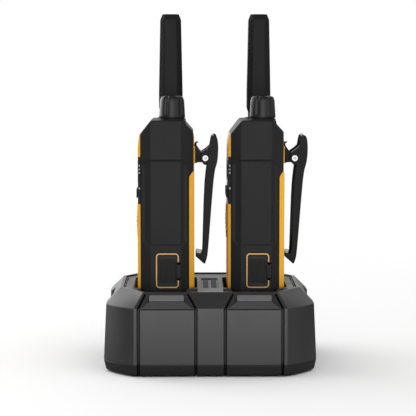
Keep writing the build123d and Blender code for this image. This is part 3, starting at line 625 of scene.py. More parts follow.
def body_surface():
    """The black body: an eight sided plan with rounded corners carried up a profile.

    Height sets how far the plan reaches to the front and back. The side points then move in
    along the plan's normal by the depth of the sunk panel, the port recess or the talk
    button's window, wherever those masks are 1."""
    z = spread((BODY_LOW, 28, 12), (28, BODY_TOP, 210), (SUNK_LOW - 1, SUNK_LOW + 5, 22),
               (SUNK_HIGH - 5, SUNK_HIGH + 1, 22), (BODY_TOP - 1.2, BODY_TOP, 10),
               *close_lines([place for box, _, _ in HOLLOWS for place in box[2:]]))
    front, back = eased(z, FRONT_LINE), eased(z, BACK_LINE, 0.35)
    near_end = np.minimum(z - BODY_LOW, BODY_TOP - z)
    climb = np.maximum(BODY_EDGE - near_end, 0)
    inset = BODY_EDGE - np.sqrt(np.maximum(BODY_EDGE ** 2 - climb ** 2, 0))
    half = HALF_WIDTH - inset
    front, back = front + inset, back - inset
    near_front = np.minimum(facet_half_width(front) - inset, half - 0.6)
    near_back = np.minimum(facet_half_width(back) - inset, half - 0.6)
    flat_front = np.maximum(FLAT_FRONT, front + 0.9)
    flat_back = np.minimum(FLAT_BACK, back - 0.9)
    corners = np.stack([
        np.stack([back, -near_back], 1), np.stack([back, near_back], 1),
        np.stack([flat_back, half], 1), np.stack([flat_front, half], 1),
        np.stack([front, near_front], 1), np.stack([front, -near_front], 1),
        np.stack([flat_front, -half], 1), np.stack([flat_back, -half], 1)], axis=1)
    even = np.linspace(0, 1, 12)[1:-1]
    x_marks = spread((FLAT_FRONT + 0.8, FLAT_BACK - 0.6, 34),
                     *close_lines([place for box, _, _ in HOLLOWS for place in box[:2]]))
    shares = (x_marks - FLAT_FRONT - 0.45) / (FLAT_BACK - FLAT_FRONT - 0.9)
    shares = shares[(shares > 0.005) & (shares < 0.995)]
    between = {0: even[::3], 1: even, 2: np.sort(1 - shares), 3: even, 4: even[::3], 5: even,
               6: shares, 7: even}
    plan = outline(corners, BODY_CORNER, 5, between)
    ahead = np.roll(plan, -1, axis=1) - np.roll(plan, 1, axis=1)
    normal = np.stack([ahead[..., 1], -ahead[..., 0]], axis=2)
    normal /= np.maximum(np.linalg.norm(normal, axis=2, keepdims=True), 1e-9)
    x, y, height = plan[..., 0], plan[..., 1], z[:, None] + 0 * plan[..., 0]
    on_side = (np.abs(y) > CORNER_FRONT - 1.5) * (np.abs(normal[..., 1]) > 0.3)
    depth = SUNK_DEPTH * sunk_mask(x, height) * on_side
    for box, deep, radius in HOLLOWS:
        this_side = y > 0 if box is TALK_WINDOW[0] else y < 0
        hollow = hole_mask(x, height, *box, radius) * this_side * on_side
        depth = np.maximum(depth, deep * hollow)
    plan = plan - normal * depth[..., None]
    return surface(along("z", plan, z[:, None]))


def collar(centre, radius, seal):
    """Low round collar with a raised sealing ring, turned about the control's axis."""
    low, lip, ring_top = BODY_TOP - 6.5, 0.5, COLLAR_TOP + 0.65
    profile = [(radius - 0.6, low), (radius, low + 0.4), (radius, COLLAR_TOP - lip)]
    profile += [(radius - lip + lip * math.cos(a), COLLAR_TOP - lip + lip * math.sin(a))
                for a in np.linspace(0.2, math.pi / 2, 5)]
    profile += [(seal + 0.1, COLLAR_TOP), (seal, COLLAR_TOP + 0.05), (seal, ring_top - 0.1),
                (seal - 0.2, ring_top), (4.3, ring_top), (4.2, COLLAR_TOP - 0.3)]
    return turned(profile, centre, 72)


def facet_prism(x_seat, face, z, inset, rounding=0.9, grow=0.0):
    """Slab on the body's front or back, carried upright.

    Its plan runs from the seat along both corner facets to the face, whose depth may change
    with height; grow stands it proud of the facets, inset draws it in at its ends."""
    z = np.asarray(z, float)
    seat = np.zeros(len(z)) + x_seat
    face = np.zeros(len(z)) + face
    sign = np.where(face > seat, 1.0, -1.0)
    face = face - sign * inset
    seat_half = facet_half_width(seat) + grow - inset
    face_half = facet_half_width(face) + grow - inset
    ends = ((seat, seat_half), (seat, -seat_half), (face, -face_half), (face, face_half))
    near = np.stack([np.stack([x, sign * half], 1) for x, half in ends], 1)
    thick, sharp = np.abs(face - seat), 0.02
    rounded = rounded_corners(near, np.clip(thick * 0.55, sharp, rounding), 7)
    square = rounded_corners(near, sharp, 7)
    shares = np.linspace(0, 1, 12)[1:-1]
    start, end = rounded[:, 2, -1][:, None], rounded[:, 3, 0][:, None]
    across = start + (end - start) * shares[None, :, None]
    plan = np.concatenate([square[:, 0], square[:, 1], rounded[:, 2], across, rounded[:, 3]], 1)
    return surface(along("z", plan, z[:, None]))


def ended(z0, z1, radius=0.4, step=1.5):
    """Heights from z0 to z1 and how far the outline draws in there, rounded at both ends."""
    levels = edge_round(z0, z1, radius)
    start, end = np.split(levels, 2)
    middle = np.arange(z0 + 1, z1 - 0.9, step)
    return (np.concatenate([start[:, 0], middle, end[:, 0]]),
            np.concatenate([start[:, 1], 0 * middle, end[:, 1]]))


# faces of the yellow covers, foot to top, as (height, depth) points
COVER_FOOT, COVER_FOOT_END = FRONT_LOW[2], 29.5
LOWER_FACE = ((COVER_FOOT, -17.4), (COVER_FOOT_END, FACE_FRONT), (PANEL_Z[0], FACE_FRONT))
WEDGE_FACE = ((PANEL_Z[1], -18.15), (147.0, -18.15), (151.0, -18.05), (157.2, -17.0),
              (158.0, -16.7))
DOOR_FACE = ((COVER_FOOT, 18.4), (COVER_FOOT_END, FACE_BACK), (131.0, FACE_BACK),
             (133.0, FACE_BACK - 0.25))
DOOR_TOP = 132.9
PANEL_BED = -17.3                           # the yellow floor that the control panel lies on


def front_cover_surfaces():
    """Yellow front: lower face, upper wedge, the panel's bed and the ring round the speaker."""
    z, inset = ended(FRONT_LOW[2], PANEL_Z[0], 0.35)
    parts = [facet_prism(SEAT_FRONT, eased(z, LOWER_FACE), z, inset)]
    z, inset = ended(PANEL_Z[1], FRONT_HIGH[2], 0.25, 0.7)
    parts.append(facet_prism(SEAT_FRONT, eased(z, WEDGE_FACE, 0.9), z, inset))
    z, inset = ended(PANEL_Z[0] - 0.5, PANEL_Z[1] + 0.5, 0.1)
    parts.append(facet_prism(SEAT_FRONT, PANEL_BED, z, inset + 0.6))
    middle, half, rise = 11.4, 0.65, 0.5
    seat, crest = -18.2, FACE_FRONT - 0.3
    ring = [(middle + half, seat)]
    ring += [(middle + half * math.cos(a), crest - rise * math.sin(a))
             for a in np.linspace(0, math.pi, 9)]
    ring += [(middle - half, seat)]
    parts.append(turned_about_x(ring, (0.0, GRILLE_MIDDLE), 72))
    return joined(parts)


def turned_about_x(profile, centre, segments=64):
    """Surface of revolution about a line along x: a (radius, x) profile turned and laid over."""
    vertices, faces = turned(profile, (0.0, 0.0), segments)
    placed = np.stack([vertices[:, 2], vertices[:, 0] + centre[0], vertices[:, 1] + centre[1]], 1)
    return placed, outward(placed, faces)


def back_cover_surface():
    """Yellow battery door; its upper end leans out with the body's step."""
    z, inset = ended(BACK_LOW[2], DOOR_TOP, 0.5)
    seat = np.interp(z, [STEP_LOW, STEP_HIGH], [SEAT_BACK, UPPER_BACK - 0.15])
    face = eased(z, DOOR_FACE)
    return facet_prism(seat, face, z, np.minimum(inset, (face - seat) * 0.35), 0.8)


def bracket_cheeks():
    """Two yellow pads beside the clip bracket, slabs with rounded rims and corners."""
    inner, outer, foot, top = 9.3, 13.4, 137.6, 149.4
    seat, face, corner, rim = 19.0, 20.45, 1.4, 0.6
    return [slab(box_corners(*sorted((side * inner, side * outer)), foot, top), "x",
                 seat, face, corner, rim) for side in (-1, 1)]


def panel_surface():
    """Black control panel: a plate with rounded ends that wraps over both corner facets."""
    seat, gap, rounding, proud = -16.5, 0.1, 0.7, 0.12
    z, inset = ended(PANEL_Z[0] + gap, PANEL_Z[1] - gap, 0.25)
    return facet_prism(seat, PANEL_FACE, z, inset, rounding, grow=proud)


def grille_surfaces():
    """Speaker cloth: a disc turned about x whose face rises by a parabola to its middle."""
    radius, face, dome, rim = 10.5, FACE_FRONT - 0.15, 0.45, 0.2
    profile = [(radius, -17.2), (radius, face + rim)]
    profile += [(radius * share - rim * (share > 0.99), face - dome * (1 - share ** 2))
                for share in np.linspace(1, 0.02, 14)]
    return turned_about_x(profile, (0.0, GRILLE_MIDDLE), 72)


def grille_bars():
    """Seven bars over the speaker cloth: slabs whose ends follow the ring's circle."""
    pitch, half_bar, reach = 2.9, 0.75, 10.6
    bars = []
    for row in range(-3, 4):
        height = row * pitch
        half = math.sqrt(reach ** 2 - (abs(height) + 0.7) ** 2)
        rise = 0.42 * (1 - (height / 11) ** 2)
        middle = GRILLE_MIDDLE + height
        corners = box_corners(-half, half, middle - half_bar, middle + half_bar)
        bars.append(slab(corners, "x", -18.0, FACE_FRONT - 0.3 - rise, 0.7, 0.3))
    return joined(bars)


def tongue_surface():
    """Yellow tongue below the clip bracket: a narrow slab whose face falls back towards its top
    with the square root of the height that is left."""
    low, high, end = 131.4, 156.8, 157.2
    seat_x, shallow, swell, reach, half_width = 18.1, 19.25, 0.62, 3.0, 13.7
    z = spread((low, high, 34))
    face = shallow + swell * np.sqrt(np.clip((end - z) / reach, 0, 1))
    seat, half = np.full(len(z), seat_x), np.full(len(z), half_width)
    corners = np.stack([np.stack([seat, half], 1), np.stack([seat, -half], 1),
                        np.stack([face, -half], 1), np.stack([face, half], 1)], 1)
    return surface(along("z", outline(corners, 0.3, 4), z[:, None]))


# the whip, root to tip: (height, half width, half depth)
WHIP_ROOT, WHIP_TIP, WHIP_TIP_ROUND = COLLAR_TOP - 1, WHIP_HIGH[2], 0.5
WHIP_LINE = ((WHIP_ROOT, 7.2, 6.4), (172.2, 7.2, 6.4), (172.7, 7.6, 6.7), (175.2, 8.2, 7.15),
             (186.0, 8.2, 7.1), (235.1, 7.2, 6.2), (WHIP_TIP, 5.65, 4.7))
WHIP_CUT = 0.44                             # share of the half width taken by a cut corner


def antenna_surface():
    """Whip: an eight sided section with rounded corners, tapering to a chamfered, rounded tip."""
    centre = (WHIP_LOW + WHIP_HIGH) / 2
    round_from = WHIP_TIP - WHIP_TIP_ROUND
    z = spread((WHIP_ROOT, 172, 6), (172, 176, 18), (176, 233, 24), (233, round_from, 16),
               (round_from, WHIP_TIP, 7))
    climb = np.maximum(z - round_from, 0)
    rounding = WHIP_TIP_ROUND - np.sqrt(np.maximum(WHIP_TIP_ROUND ** 2 - climb ** 2, 0))
    wide = eased(z, [(height, half) for height, half, _ in WHIP_LINE], 0.4) - rounding
    deep = eased(z, [(height, half) for height, _, half in WHIP_LINE], 0.4) - rounding
    cut = WHIP_CUT * wide
    points = []
    for side_x, side_y, cut_x in ((1, -1, 0), (1, 1, 0), (1, 1, 1), (-1, 1, 1), (-1, 1, 0),
                                  (-1, -1, 0), (-1, -1, 1), (1, -1, 1)):
        x = centre[0] + side_x * (wide - cut * cut_x)
        y = centre[1] + side_y * (deep - cut * (1 - cut_x))
        points.append(np.stack([x, y], 1))
    plan = outline(np.stack(points, 1), 1.3, 6, {side: np.array([0.5]) for side in range(8)})
    return surface(along("z", plan, z[:, None]))


def control_centre(node):
    """Plan centre of a control that stands on a radio's top."""
    low, high = radio_box(node)
    return tuple(((low + high) / 2)[:2])


def knob_surface():
    """Knob: a tapered drum whose radius dips in five rounded flutes between broad lands."""
    centre = (KNOB_LOW + KNOB_HIGH) / 2
    low, top = KNOB_LOW[2], KNOB_HIGH[2]
    widest = KNOB_HIGH[0] - centre[0]
    drum, crown = widest - 0.05, widest - 0.9
    flute_count, flute_depth, flute_turn = 5, 0.8, math.radians(117)
    profile = [(2.6, low + 0.02), (widest - 0.5, low + 0.02), (widest - 0.1, low + 0.25),
               (widest, low + 0.7), (drum, low + 1.8)]
    profile += [(drum - 0.06 * (h - 1.8), low + h) for h in np.linspace(2.2, 11.6, 14)]
    profile += [(crown - 1.9 * (1 - math.cos(a)), low + 12 + 2.5 * math.sin(a))
                for a in np.linspace(0.15, math.pi / 2, 8)]
    profile += [(4.6, top - 0.15), (4.2, top - 0.5), (1.2, top - 0.5)]

    def flutes(angle, radius, height):
        """The radius less a raised cosine that fades out at the foot and on the crown."""
        dip = np.clip(np.cos(flute_count * (angle + flute_turn)), 0, 1) ** 2.5
        fade = smooth(height, low + 1.2, low + 2.6) * smooth(radius, 4.4, 5.8)
        return radius - flute_depth * dip * fade

    return turned(profile, centre[:2], 240, flutes)


# the belt clip's outer and inner lines from the thumb end down to the hooked lip, as (x, z)
CLIP_OUTER = np.array([(33.2, 157.0), (34.9, 156.3), (35.8, 153.6), (36.2, 149.5), (36.1, 144.0),
                       (35.5, 138.4), (33.9, 133.0), (32.9, 125.0), (31.6, 109.0), (29.4, 80.0),
                       (28.7, 73.6), (27.2, 69.0)])
CLIP_INNER = np.array([(32.9, 156.9), (31.6, 155.9), (31.0, 153.6), (30.4, 150.2), (29.6, 144.0),
                       (28.7, 138.4), (27.9, 132.4), (27.0, 124.0), (26.3, 109.5), (25.5, 80.0),
                       (25.2, 74.8), (25.9, 70.6)])


def along_line(points, shares):
    """Points at the given shares of a broken line, counted by index."""
    index = shares * (len(points) - 1)
    return np.stack([np.interp(index, np.arange(len(points)), points[:, k]) for k in range(2)], 1)


def clip_arm_surface():
    """Channel section carried down the clip.

    At each station the section runs across the outer line, round both rims, along the flange
    edges on the inner line and back along the channel's floor, which meets the inner line at
    both ends of the arm so that they are solid."""
    shares = np.linspace(0, 1, 90)
    outer, inner = along_line(CLIP_OUTER, shares), along_line(CLIP_INNER, shares)
    kernel = np.ones(5) / 5
    for line in (outer, inner):
        for k in range(2):
            padded = np.pad(line[:, k], 2, mode="edge")
            line[:, k] = np.convolve(padded, kernel, "valid")
    half, wall, rim, lip = CLIP_HALF, 1.8, 1.5, 0.35
    narrow = 1.6 * (1 - np.sqrt(1 - np.clip(1 - shares / 0.05, 0, 1) ** 2))
    angle = np.linspace(0, math.pi / 2, 6)
    depth = np.linalg.norm(inner - outer, axis=1)[:, None]
    solid = np.minimum(smooth(shares, 0.06, 0.12), smooth(shares, 0.93, 0.86))[:, None]
    floor = depth - (depth - wall) * solid
    ones = np.ones((len(shares), 1))
    down = np.concatenate([
        ones * (rim * (1 - np.sin(angle))), depth - lip, depth - 0.1, depth,
        depth - 0.1 * solid, floor + 0.4 * solid, floor, floor], axis=1)
    across = np.concatenate([
        half - rim + rim * np.cos(angle)[::-1],
        [half, half - 0.1, half - lip, half - wall + 0.1, half - wall, half - wall - 0.4, 3.0]])
    y = ones * across
    y = y - narrow[:, None] * (y / half)
    down = np.concatenate([down, down[:, ::-1]], axis=1)
    y = np.concatenate([y, -y[:, ::-1]], axis=1)
    direction = (inner - outer) / depth
    x = outer[:, :1] + direction[:, :1] * down
    z = outer[:, 1:] + direction[:, 1:] * down
    return surface(np.stack([x, y, z], axis=2))


def clip_spring_surface():
    """Torsion spring: a round wire carried along a helix about the clip's pin."""
    centre = (PIN_LOW + PIN_HIGH) / 2
    coil, wire, turns, half = 3.0, 0.42, 5, 3.6
    share = np.linspace(0, 1, turns * 28)[:, None]
    around = np.linspace(0, 2 * math.pi, 10, endpoint=False)[None, :]
    sweep = 2 * math.pi * turns * share
    radius = coil + wire * np.cos(around)
    return surface(np.stack([
        centre[0] + radius * np.cos(sweep), half * (2 * share - 1) + wire * np.sin(around),
        centre[2] + radius * np.sin(sweep)], axis=2))


def clip_lip_surface():
    """Hooked lip: a wedge outline with rounded corners carried across the clip."""
    corners = [(26.9, 68.5), (28.5, 73.2), (26.0, 75.6), (21.1, 76.5), (20.7, 74.0)]
    reach = CLIP_HALF - 0.02
    return slab(corners, "y", -reach, reach, 0.5, 0.5)


def clip_ear_surfaces():
    """Two ears that hold the pin, each an outline with rounded corners and rounded rims."""
    corners = [(24.1, 139.4), (26.6, 136.6), (29.8, 136.2), (31.8, 140.0), (32.4, 149.2),
               (31.0, 150.0), (28.2, 147.4), (24.4, 144.8)]
    inner, outer = 9.4, CLIP_HALF - 0.15
    return [slab(corners, "y", *sorted((side * inner, side * outer)), 0.9, 0.35)
            for side in (-1, 1)]


def trim_surface():
    """C shaped band: a rounded bar section carried along a rounded rectangle, open on +x."""
    width, half_tall, radius = 1.1, 0.75, 1.85
    gap_low, gap_high = 59.8, 72.2
    x0, x1 = TRIM_LOW[0] + width / 2, TRIM_HIGH[0] - width / 2
    z0, z1 = TRIM_LOW[2] + width / 2, TRIM_HIGH[2] - width / 2
    left, right, low, high = x0 + radius, x1 - radius, z0 + radius, z1 - radius
    arc = np.linspace(0, math.pi / 2, 9)

    def corner(x, z, quarter):
        """Quarter circle about (x, z), from the given quarter turn on."""
        turn = arc + quarter * math.pi / 2
        return np.stack([x + radius * np.cos(turn), z + radius * np.sin(turn)], 1)

    def straight(start, end):
        """Points between two corners."""
        return np.linspace(start, end, 8)[1:-1]

    path = np.concatenate([
        np.linspace((x1, gap_high), (x1, high), 6)[:-1],
        corner(right, high, 0), straight((right, z1), (left, z1)),
        corner(left, high, 1), straight((x0, high), (x0, low)),
        corner(left, low, 2), straight((left, z0), (right, z0)),
        corner(right, low, 3), np.linspace((x1, low), (x1, gap_low), 6)[1:]])
    ahead = np.gradient(path, axis=0)
    ahead /= np.linalg.norm(ahead, axis=1, keepdims=True)
    across = np.stack([ahead[:, 1], -ahead[:, 0]], 1)
    turn = np.linspace(0, 2 * math.pi, 20, endpoint=False)
    ring = np.stack([np.cos(turn), np.sin(turn)])
    wide, tall = np.sign(ring) * np.abs(ring) ** 0.55 * [[width / 2], [half_tall]]
    x = path[:, :1] + across[:, :1] * wide[None]
    z = path[:, 1:] + across[:, 1:] * wide[None]
    y = TRIM_LOW[1] + half_tall - tall[None] + 0 * x
    return surface(np.stack([x, y, z], axis=2))


def port_cover_surface():
    """Rubber flap: rounded slab with nine upright ribs, a hinge tab and its turned knuckle."""
    x0, x1 = COVER_LOW[0], 8.1
    z0, z1 = COVER_LOW[2], COVER_HIGH[2]
    middle, pitch, half_rib, margin = (x0 + x1) / 2, 1.3, 0.28, 2.4
    tab_low, tab_high, hinge = 61.5, 70.5, (10.0, -29.0)
    parts = [slab(box_corners(x0, x1, z0, z1), "y", -28.05, -29.15, 1.0, 0.3)]
    for rib in range(-4, 5):
        x = middle + rib * pitch
        corners = box_corners(x - half_rib, x + half_rib, z0 + margin, z1 - margin)
        parts.append(slab(corners, "y", -29.0, -29.3, 0.26, 0.14))
    parts.append(slab(box_corners(7.6, 10.2, tab_low, tab_high), "y", -28.3, -29.2, 0.6, 0.3))
    low, high = tab_low - 0.1, tab_high + 0.1
    knuckle = [(0.05, low), (0.6, low), (0.72, low + 0.2), (0.72, high - 0.2), (0.6, high),
               (0.05, high)]
    parts.append(turned(knuckle, hinge, 24))
    return joined(parts)


def dash(y0, y1, z0, z1, face=PANEL_FACE - 0.06, thick=0.2, corner=0.12):
    """Small printed bar that lies on the front."""
    return slab(box_corners(y0, y1, z0, z1), "x", face + thick, face, corner, 0.03)


def panel_marks():
    """Plain marks: dots beside the window, dashes above the keys and bars on the corners."""
    dot_wide, dot_tall, gap = 1.2, 0.9, 1.3
    parts = [dash(y, y + dot_wide, z, z + dot_tall)
             for y in (-21.6, 20.4) for z in (136.3, 134.0, 131.7, 121.0)]
    parts += [dash(y - 1.6, y + 1.6, 121.9, 122.3) for y in (-13.0, 0.0, 13.0)]
    for low, tall in ((136.2, 1.2), (133.9, 0.9), (131.4, 1.2), (120.9, 1.3)):
        for offset in (0.0, gap):
            near, far = -17.5 + offset * 0.4, -17.2 + offset * 0.4
            x = np.array([near, far, far, near])
            z = np.array([low, low, low + tall, low + tall])
            half = facet_half_width(x) + 0.12
            for side in (-1, 1):
                shallow = np.stack([x, side * (half - 0.25), z], 1)
                proud = np.stack([x, side * (half + 0.05), z], 1)
                parts.append(surface(np.stack([shallow, proud])))
    return joined(parts)


# the seven bars of a digit: (left, right, low, high) within it
DIGIT_BARS = ((0.3, 3.5, 0, 0.5), (0.3, 3.5, 4.3, 4.8), (0.3, 3.5, 8.6, 9.1), (0, 0.5, 0.5, 4.1),
              (0, 0.5, 5.0, 8.6), (3.3, 3.8, 0.5, 4.1), (3.3, 3.8, 5.0, 8.6))


def display_segments():
    """Dim seven-bar digits and a bar scale behind the window's surface."""
    face, thick, corner = PANEL_FACE - 0.33, 0.1, 0.1
    low, first, pitch = 127.6, -9.6, 5.6
    boxes = [(first + digit * pitch + y0, first + digit * pitch + y1, low + z0, low + z1)
             for digit in range(3) for y0, y1, z0, z1 in DIGIT_BARS]
    boxes += [(8.6 + 1.2 * k, 9.4 + 1.2 * k, 128, 129.2 + k) for k in range(4)]
    return joined([dash(*box, face, thick, corner) for box in boxes])


# ---------------------------------------------------------------- dock surfaces
BAND_FOOT, BAND_TOP = 1.0, SHELL_LOW[2]
SHOULDER, RIM = 45.5, SHELL_HIGH[2]
# (height, half width, half depth in front, half depth behind, front flat, side flat ahead,
# side flat behind)
DOCK_LEVELS = np.array([
    (BAND_FOOT, 69.7, 59.2, 59.2, 50.0, 37.2, 37.2),
    (BAND_TOP, 71.2, 60.5, 60.5, 50.8, 38.2, 38.2),
    (SHOULDER, 69.5, 59.4, 59.4, 50.6, 37.6, 37.6),
    (RIM, 60.5, 49.8, 45.0, 44.3, 27.0, 28.0)])
REAR_RIM_GROWTH = 4.4                       # how much longer the rear flat is at the rim
CORNER_BOW, CORNER_ARC = 1.8, 1.4           # bulge of the corner faces and radius of their ends
GROOVE_DEEP = 2.0                           # depth of the four grooves down the front
# the pads' profile over the front slope: share of the slope, y, height
PAD_RIDGE, PAD_HEAD = (0.34, -57.1, 50.3), (0.74, -51.9, 53.1)
PAD_LINE = np.array([(0.0, -59.4, SHOULDER), PAD_RIDGE, PAD_HEAD, (1.0, -49.8, RIM)])
WAIST_HALF = 65.6                           # half width of the waist in the dock's sides
INLET_WINDOW = (-6.2, 6.2, 11.8, 22.2)      # opening for the power inlet: x, x, z, z


def dock_corners(z, inset):
    """Eight corners of the dock's outline at each height, drawn in by each row's inset."""
    value = [np.interp(z, DOCK_LEVELS[:, 0], DOCK_LEVELS[:, k]) for k in range(1, 7)]
    half_x, front, rear, flat, ahead, behind = value
    half_x, front, rear = half_x - inset, front - inset, rear - inset
    flat, ahead, behind = flat - 0.42 * inset, ahead - 0.38 * inset, behind - 0.38 * inset
    rear_flat = flat + np.interp(z, [SHOULDER, RIM], [0, REAR_RIM_GROWTH])
    return np.stack([np.stack(p, 1) for p in (
        (flat, -front), (half_x, -ahead), (half_x, behind), (rear_flat, rear),
        (-rear_flat, rear), (-half_x, behind), (-half_x, -ahead), (-flat, -front))], axis=1)


def front_columns():
    """Columns of the front, left to right: (x at the shoulder, x at the rim, groove, pad)."""
    right = np.array([
        (0.0, 0.0, 0, 0), (4.0, 5.0, 0, 0), (8.2, 14.3, 0, 0), (8.5, 14.6, 0, 0),
        (8.75, 14.85, .15, 0), (8.95, 15.05, 1, 0), (10.35, 16.25, 1, 0), (10.55, 16.45, .15, 0),
        (10.8, 16.65, 0, 0), (10.95, 17.2, 0, 0), (11.25, 17.45, 0, .8), (11.6, 17.8, 0, 1),
        (20.0, 23.0, 0, 1), (28.5, 28.75, 0, 1), (37.0, 34.5, 0, 1), (45.3, 39.7, 0, 1),
        (45.65, 40.05, 0, .8), (45.95, 40.3, 0, 0), (46.2, 41.2, 0, 0), (46.45, 41.45, .15, 0),
        (46.65, 41.65, 1, 0), (48.05, 42.9, 1, 0), (48.25, 43.05, .15, 0), (48.45, 43.15, 0, 0)])
    left = right[:0:-1] * np.array([-1, -1, 1, 1])
    return np.concatenate([left, right])


def side_points(arcs, corner, shares):
    """Points at the given shares of the side that follows a corner, row by row."""
    start, end = arcs[:, corner, -1][:, None], arcs[:, (corner + 1) % 8, 0][:, None]
    return start + (end - start) * np.asarray(shares)[None, :, None]


def bowed_corner(arcs, corner, amount):
    """Corner face bulged away from the middle by a parabola over its width, times the amount."""
    shares = np.linspace(0, 1, 8)[1:-1]
    plane = side_points(arcs, corner, shares)
    bow = CORNER_BOW * (4 * shares * (1 - shares))[None, :] * amount
    return plane + plane / np.linalg.norm(plane, axis=2, keepdims=True) * bow[..., None]


def dock_front(z, front_y, limit, v, outside):
    """The front columns of the dock's wall, with their grooves and pads.

    v is the share of the slope above the shoulder and outside is 1 on the outer rows. On the
    slope a groove's column leans with its x from shoulder to rim and its floor moves in along
    the slope's normal; a pad's column follows the pad's own profile, a steep face below and a
    gentle one above. Every row is scaled to stay within the limit."""
    table = front_columns()
    low_x, high_x, groove, pad = table.T[:, None, :]
    is_pad = (np.abs(low_x) > 10.9) & (np.abs(low_x) < 46.1)
    climb = np.where(is_pad, np.clip(v / PAD_RIDGE[0], 0, 1), v)
    x = low_x + (high_x - low_x) * climb
    x = x * np.minimum(1, limit / x.max(1))[:, None]
    y, height = front_y[:, None] + 0 * x, z[:, None] + 0 * x
    on_slope = (v > 0) * outside * pad
    y = y + (np.interp(v, PAD_LINE[:, 0], PAD_LINE[:, 1]) - y) * on_slope
    height = height + (np.interp(v, PAD_LINE[:, 0], PAD_LINE[:, 2]) - height) * on_slope
    deep = GROOVE_DEEP * groove * outside * (1 - smooth(v, 0.84, 0.93))
    seam = smooth(z, SHOULDER - 1.0, SHOULDER - 0.7)
    seam = seam * (1 - smooth(z, SHOULDER - 0.35, SHOULDER - 0.1)) * (v[:, 0] == 0)
    deep = np.maximum(deep, 0.7 * seam[:, None] * pad * outside)
    slanted = math.sqrt(0.5)
    y = y + deep * np.where(v > 0, slanted, 1.0)
    height = height - deep * np.where(v > 0, slanted, 0.0)
    return np.stack([x, y, height], axis=2)


def dock_shell_surface():
    """Closed wall of the dock's upper moulding.

    Rows run up the outside, over the rim, down the tray's seat and down the inside. The front
    columns carry the four grooves and the two pads. A side column's x is the smaller of the
    wall's and the waist's."""
    slope = spread((0, 1, 14), (0, 0.05, 3), (PAD_RIDGE[0] - 0.04, PAD_RIDGE[0] + 0.04, 5),
                   (PAD_HEAD[0] - 0.04, PAD_HEAD[0] + 0.04, 5), (0.95, 1, 4))
    window_low, window_high = INLET_WINDOW[2:]
    wall_z = spread((BAND_TOP, SHOULDER - 1, 20), (BAND_TOP, BAND_TOP + 0.6, 4),
                    (window_low - 0.1, window_low + 0.1, 3),
                    (window_high - 0.1, window_high + 0.1, 3),
                    (SHOULDER - 1.3, SHOULDER - 0.05, 11))
    slope_z = SHOULDER + (RIM - SHOULDER) * slope
    # (height, inset) over the rim and its seat for the tray, then down the inside
    over = np.array([(RIM, 0.35), (RIM, 1.2), (RIM, 1.9), (RIM - 0.1, 2.15), (RIM - 0.35, 2.25),
                     (RIM - 2.0, 2.25), (RIM - 3.3, 2.25), (RIM - 3.3, 4.6), (RIM - 5.0, 4.6)])
    down = np.array([(SHOULDER - 2.0, 2.8), (30.0, 2.8), (BAND_TOP + 0.02, 2.8)])
    z = np.concatenate([wall_z, slope_z, over[:, 0], down[:, 0]])
    inset = np.concatenate([0 * wall_z, 0 * slope_z, over[:, 1], down[:, 1]])
    inset[:4] = [0.35, 0.12, 0.03, 0.0]
    inset[len(wall_z) + len(slope_z) - 1] = 0.08
    v = np.concatenate([0 * wall_z, slope, 0 * over[:, 0] + 1, 0 * down[:, 0]])[:, None]
    outside = (np.arange(len(z)) < len(wall_z) + len(slope_z)).astype(float)[:, None]
    corners = dock_corners(z, inset)
    arcs = rounded_corners(corners, np.maximum(CORNER_ARC - 0.4 * inset, 0.8), 7)

    def upright(plane):
        """The plan's columns, each row at its own height."""
        return np.concatenate([plane, (z[:, None] + 0 * plane[..., 0])[..., None]], axis=2)

    half_waist = [0.0, 0.06, 0.13, 0.17, 0.2, 0.23, 0.27]
    waist = np.array(half_waist[1:] + [0.5] + [1 - share for share in half_waist[:0:-1]])
    columns = []
    for corner in range(8):
        columns.append(upright(arcs[:, corner]))
        if corner in (1, 5):
            plane = side_points(arcs, corner, waist)
            ends = np.maximum(np.abs(plane[..., 1]) - 20, 0) * 1.2
            reach = WAIST_HALF - np.minimum(inset, 2.8)[:, None] + ends
            plane[..., 0] = np.sign(plane[..., 0]) * np.minimum(np.abs(plane[..., 0]), reach)
            columns.append(upright(plane))
        elif corner == 3:
            shares = spread((0.06, 0.94, 9), (0.438, 0.4405, 3), (0.5595, 0.562, 3))
            plane = side_points(arcs, corner, shares)
            window = hole_mask(plane[..., 0], z[:, None], *INLET_WINDOW, 0.3, 0.1)
            plane[..., 1] -= 1.0 * window * outside
            columns.append(upright(plane))
        elif corner == 7:
            columns.append(dock_front(z, corners[:, 0, 1], arcs[:, 0, 0, 0] - 0.05, v, outside))
        else:
            fading = (1 - smooth(v, 0.0, 1.0)) * outside
            columns.append(upright(bowed_corner(arcs, corner, fading)))
    return surface(np.concatenate(columns, axis=1), wrap_rows=True)


def dock_base_surface():
    """The band the dock stands on: the outline widens upward; the grooves carry on through it."""
    z = spread((BAND_FOOT, 1.5, 4), (1.5, BAND_TOP - 0.4, 6), (BAND_TOP - 0.4, BAND_TOP, 4))
    inset = np.interp(z, [BAND_FOOT, 1.5, BAND_TOP - 0.4, BAND_TOP], [0.5, 0.0, 0.0, 0.3])
    corners = dock_corners(z, inset)
    arcs = rounded_corners(corners, CORNER_ARC, 7)
    columns = []
    for corner in range(8):
        columns.append(arcs[:, corner])
        if corner == 7:
            x, _, groove, _ = front_columns().T[:, None, :]
            y = corners[:, 0, 1][:, None] + GROOVE_DEEP * groove
            columns.append(np.stack([x + 0 * y, y], axis=2))
        elif corner % 2 == 0:
            columns.append(bowed_corner(arcs, corner, 1.0))
        else:
            columns.append(side_points(arcs, corner, np.linspace(0, 1, 8)[1:-1]))
    return surface(along("z", np.concatenate(columns, 1), z[:, None]))


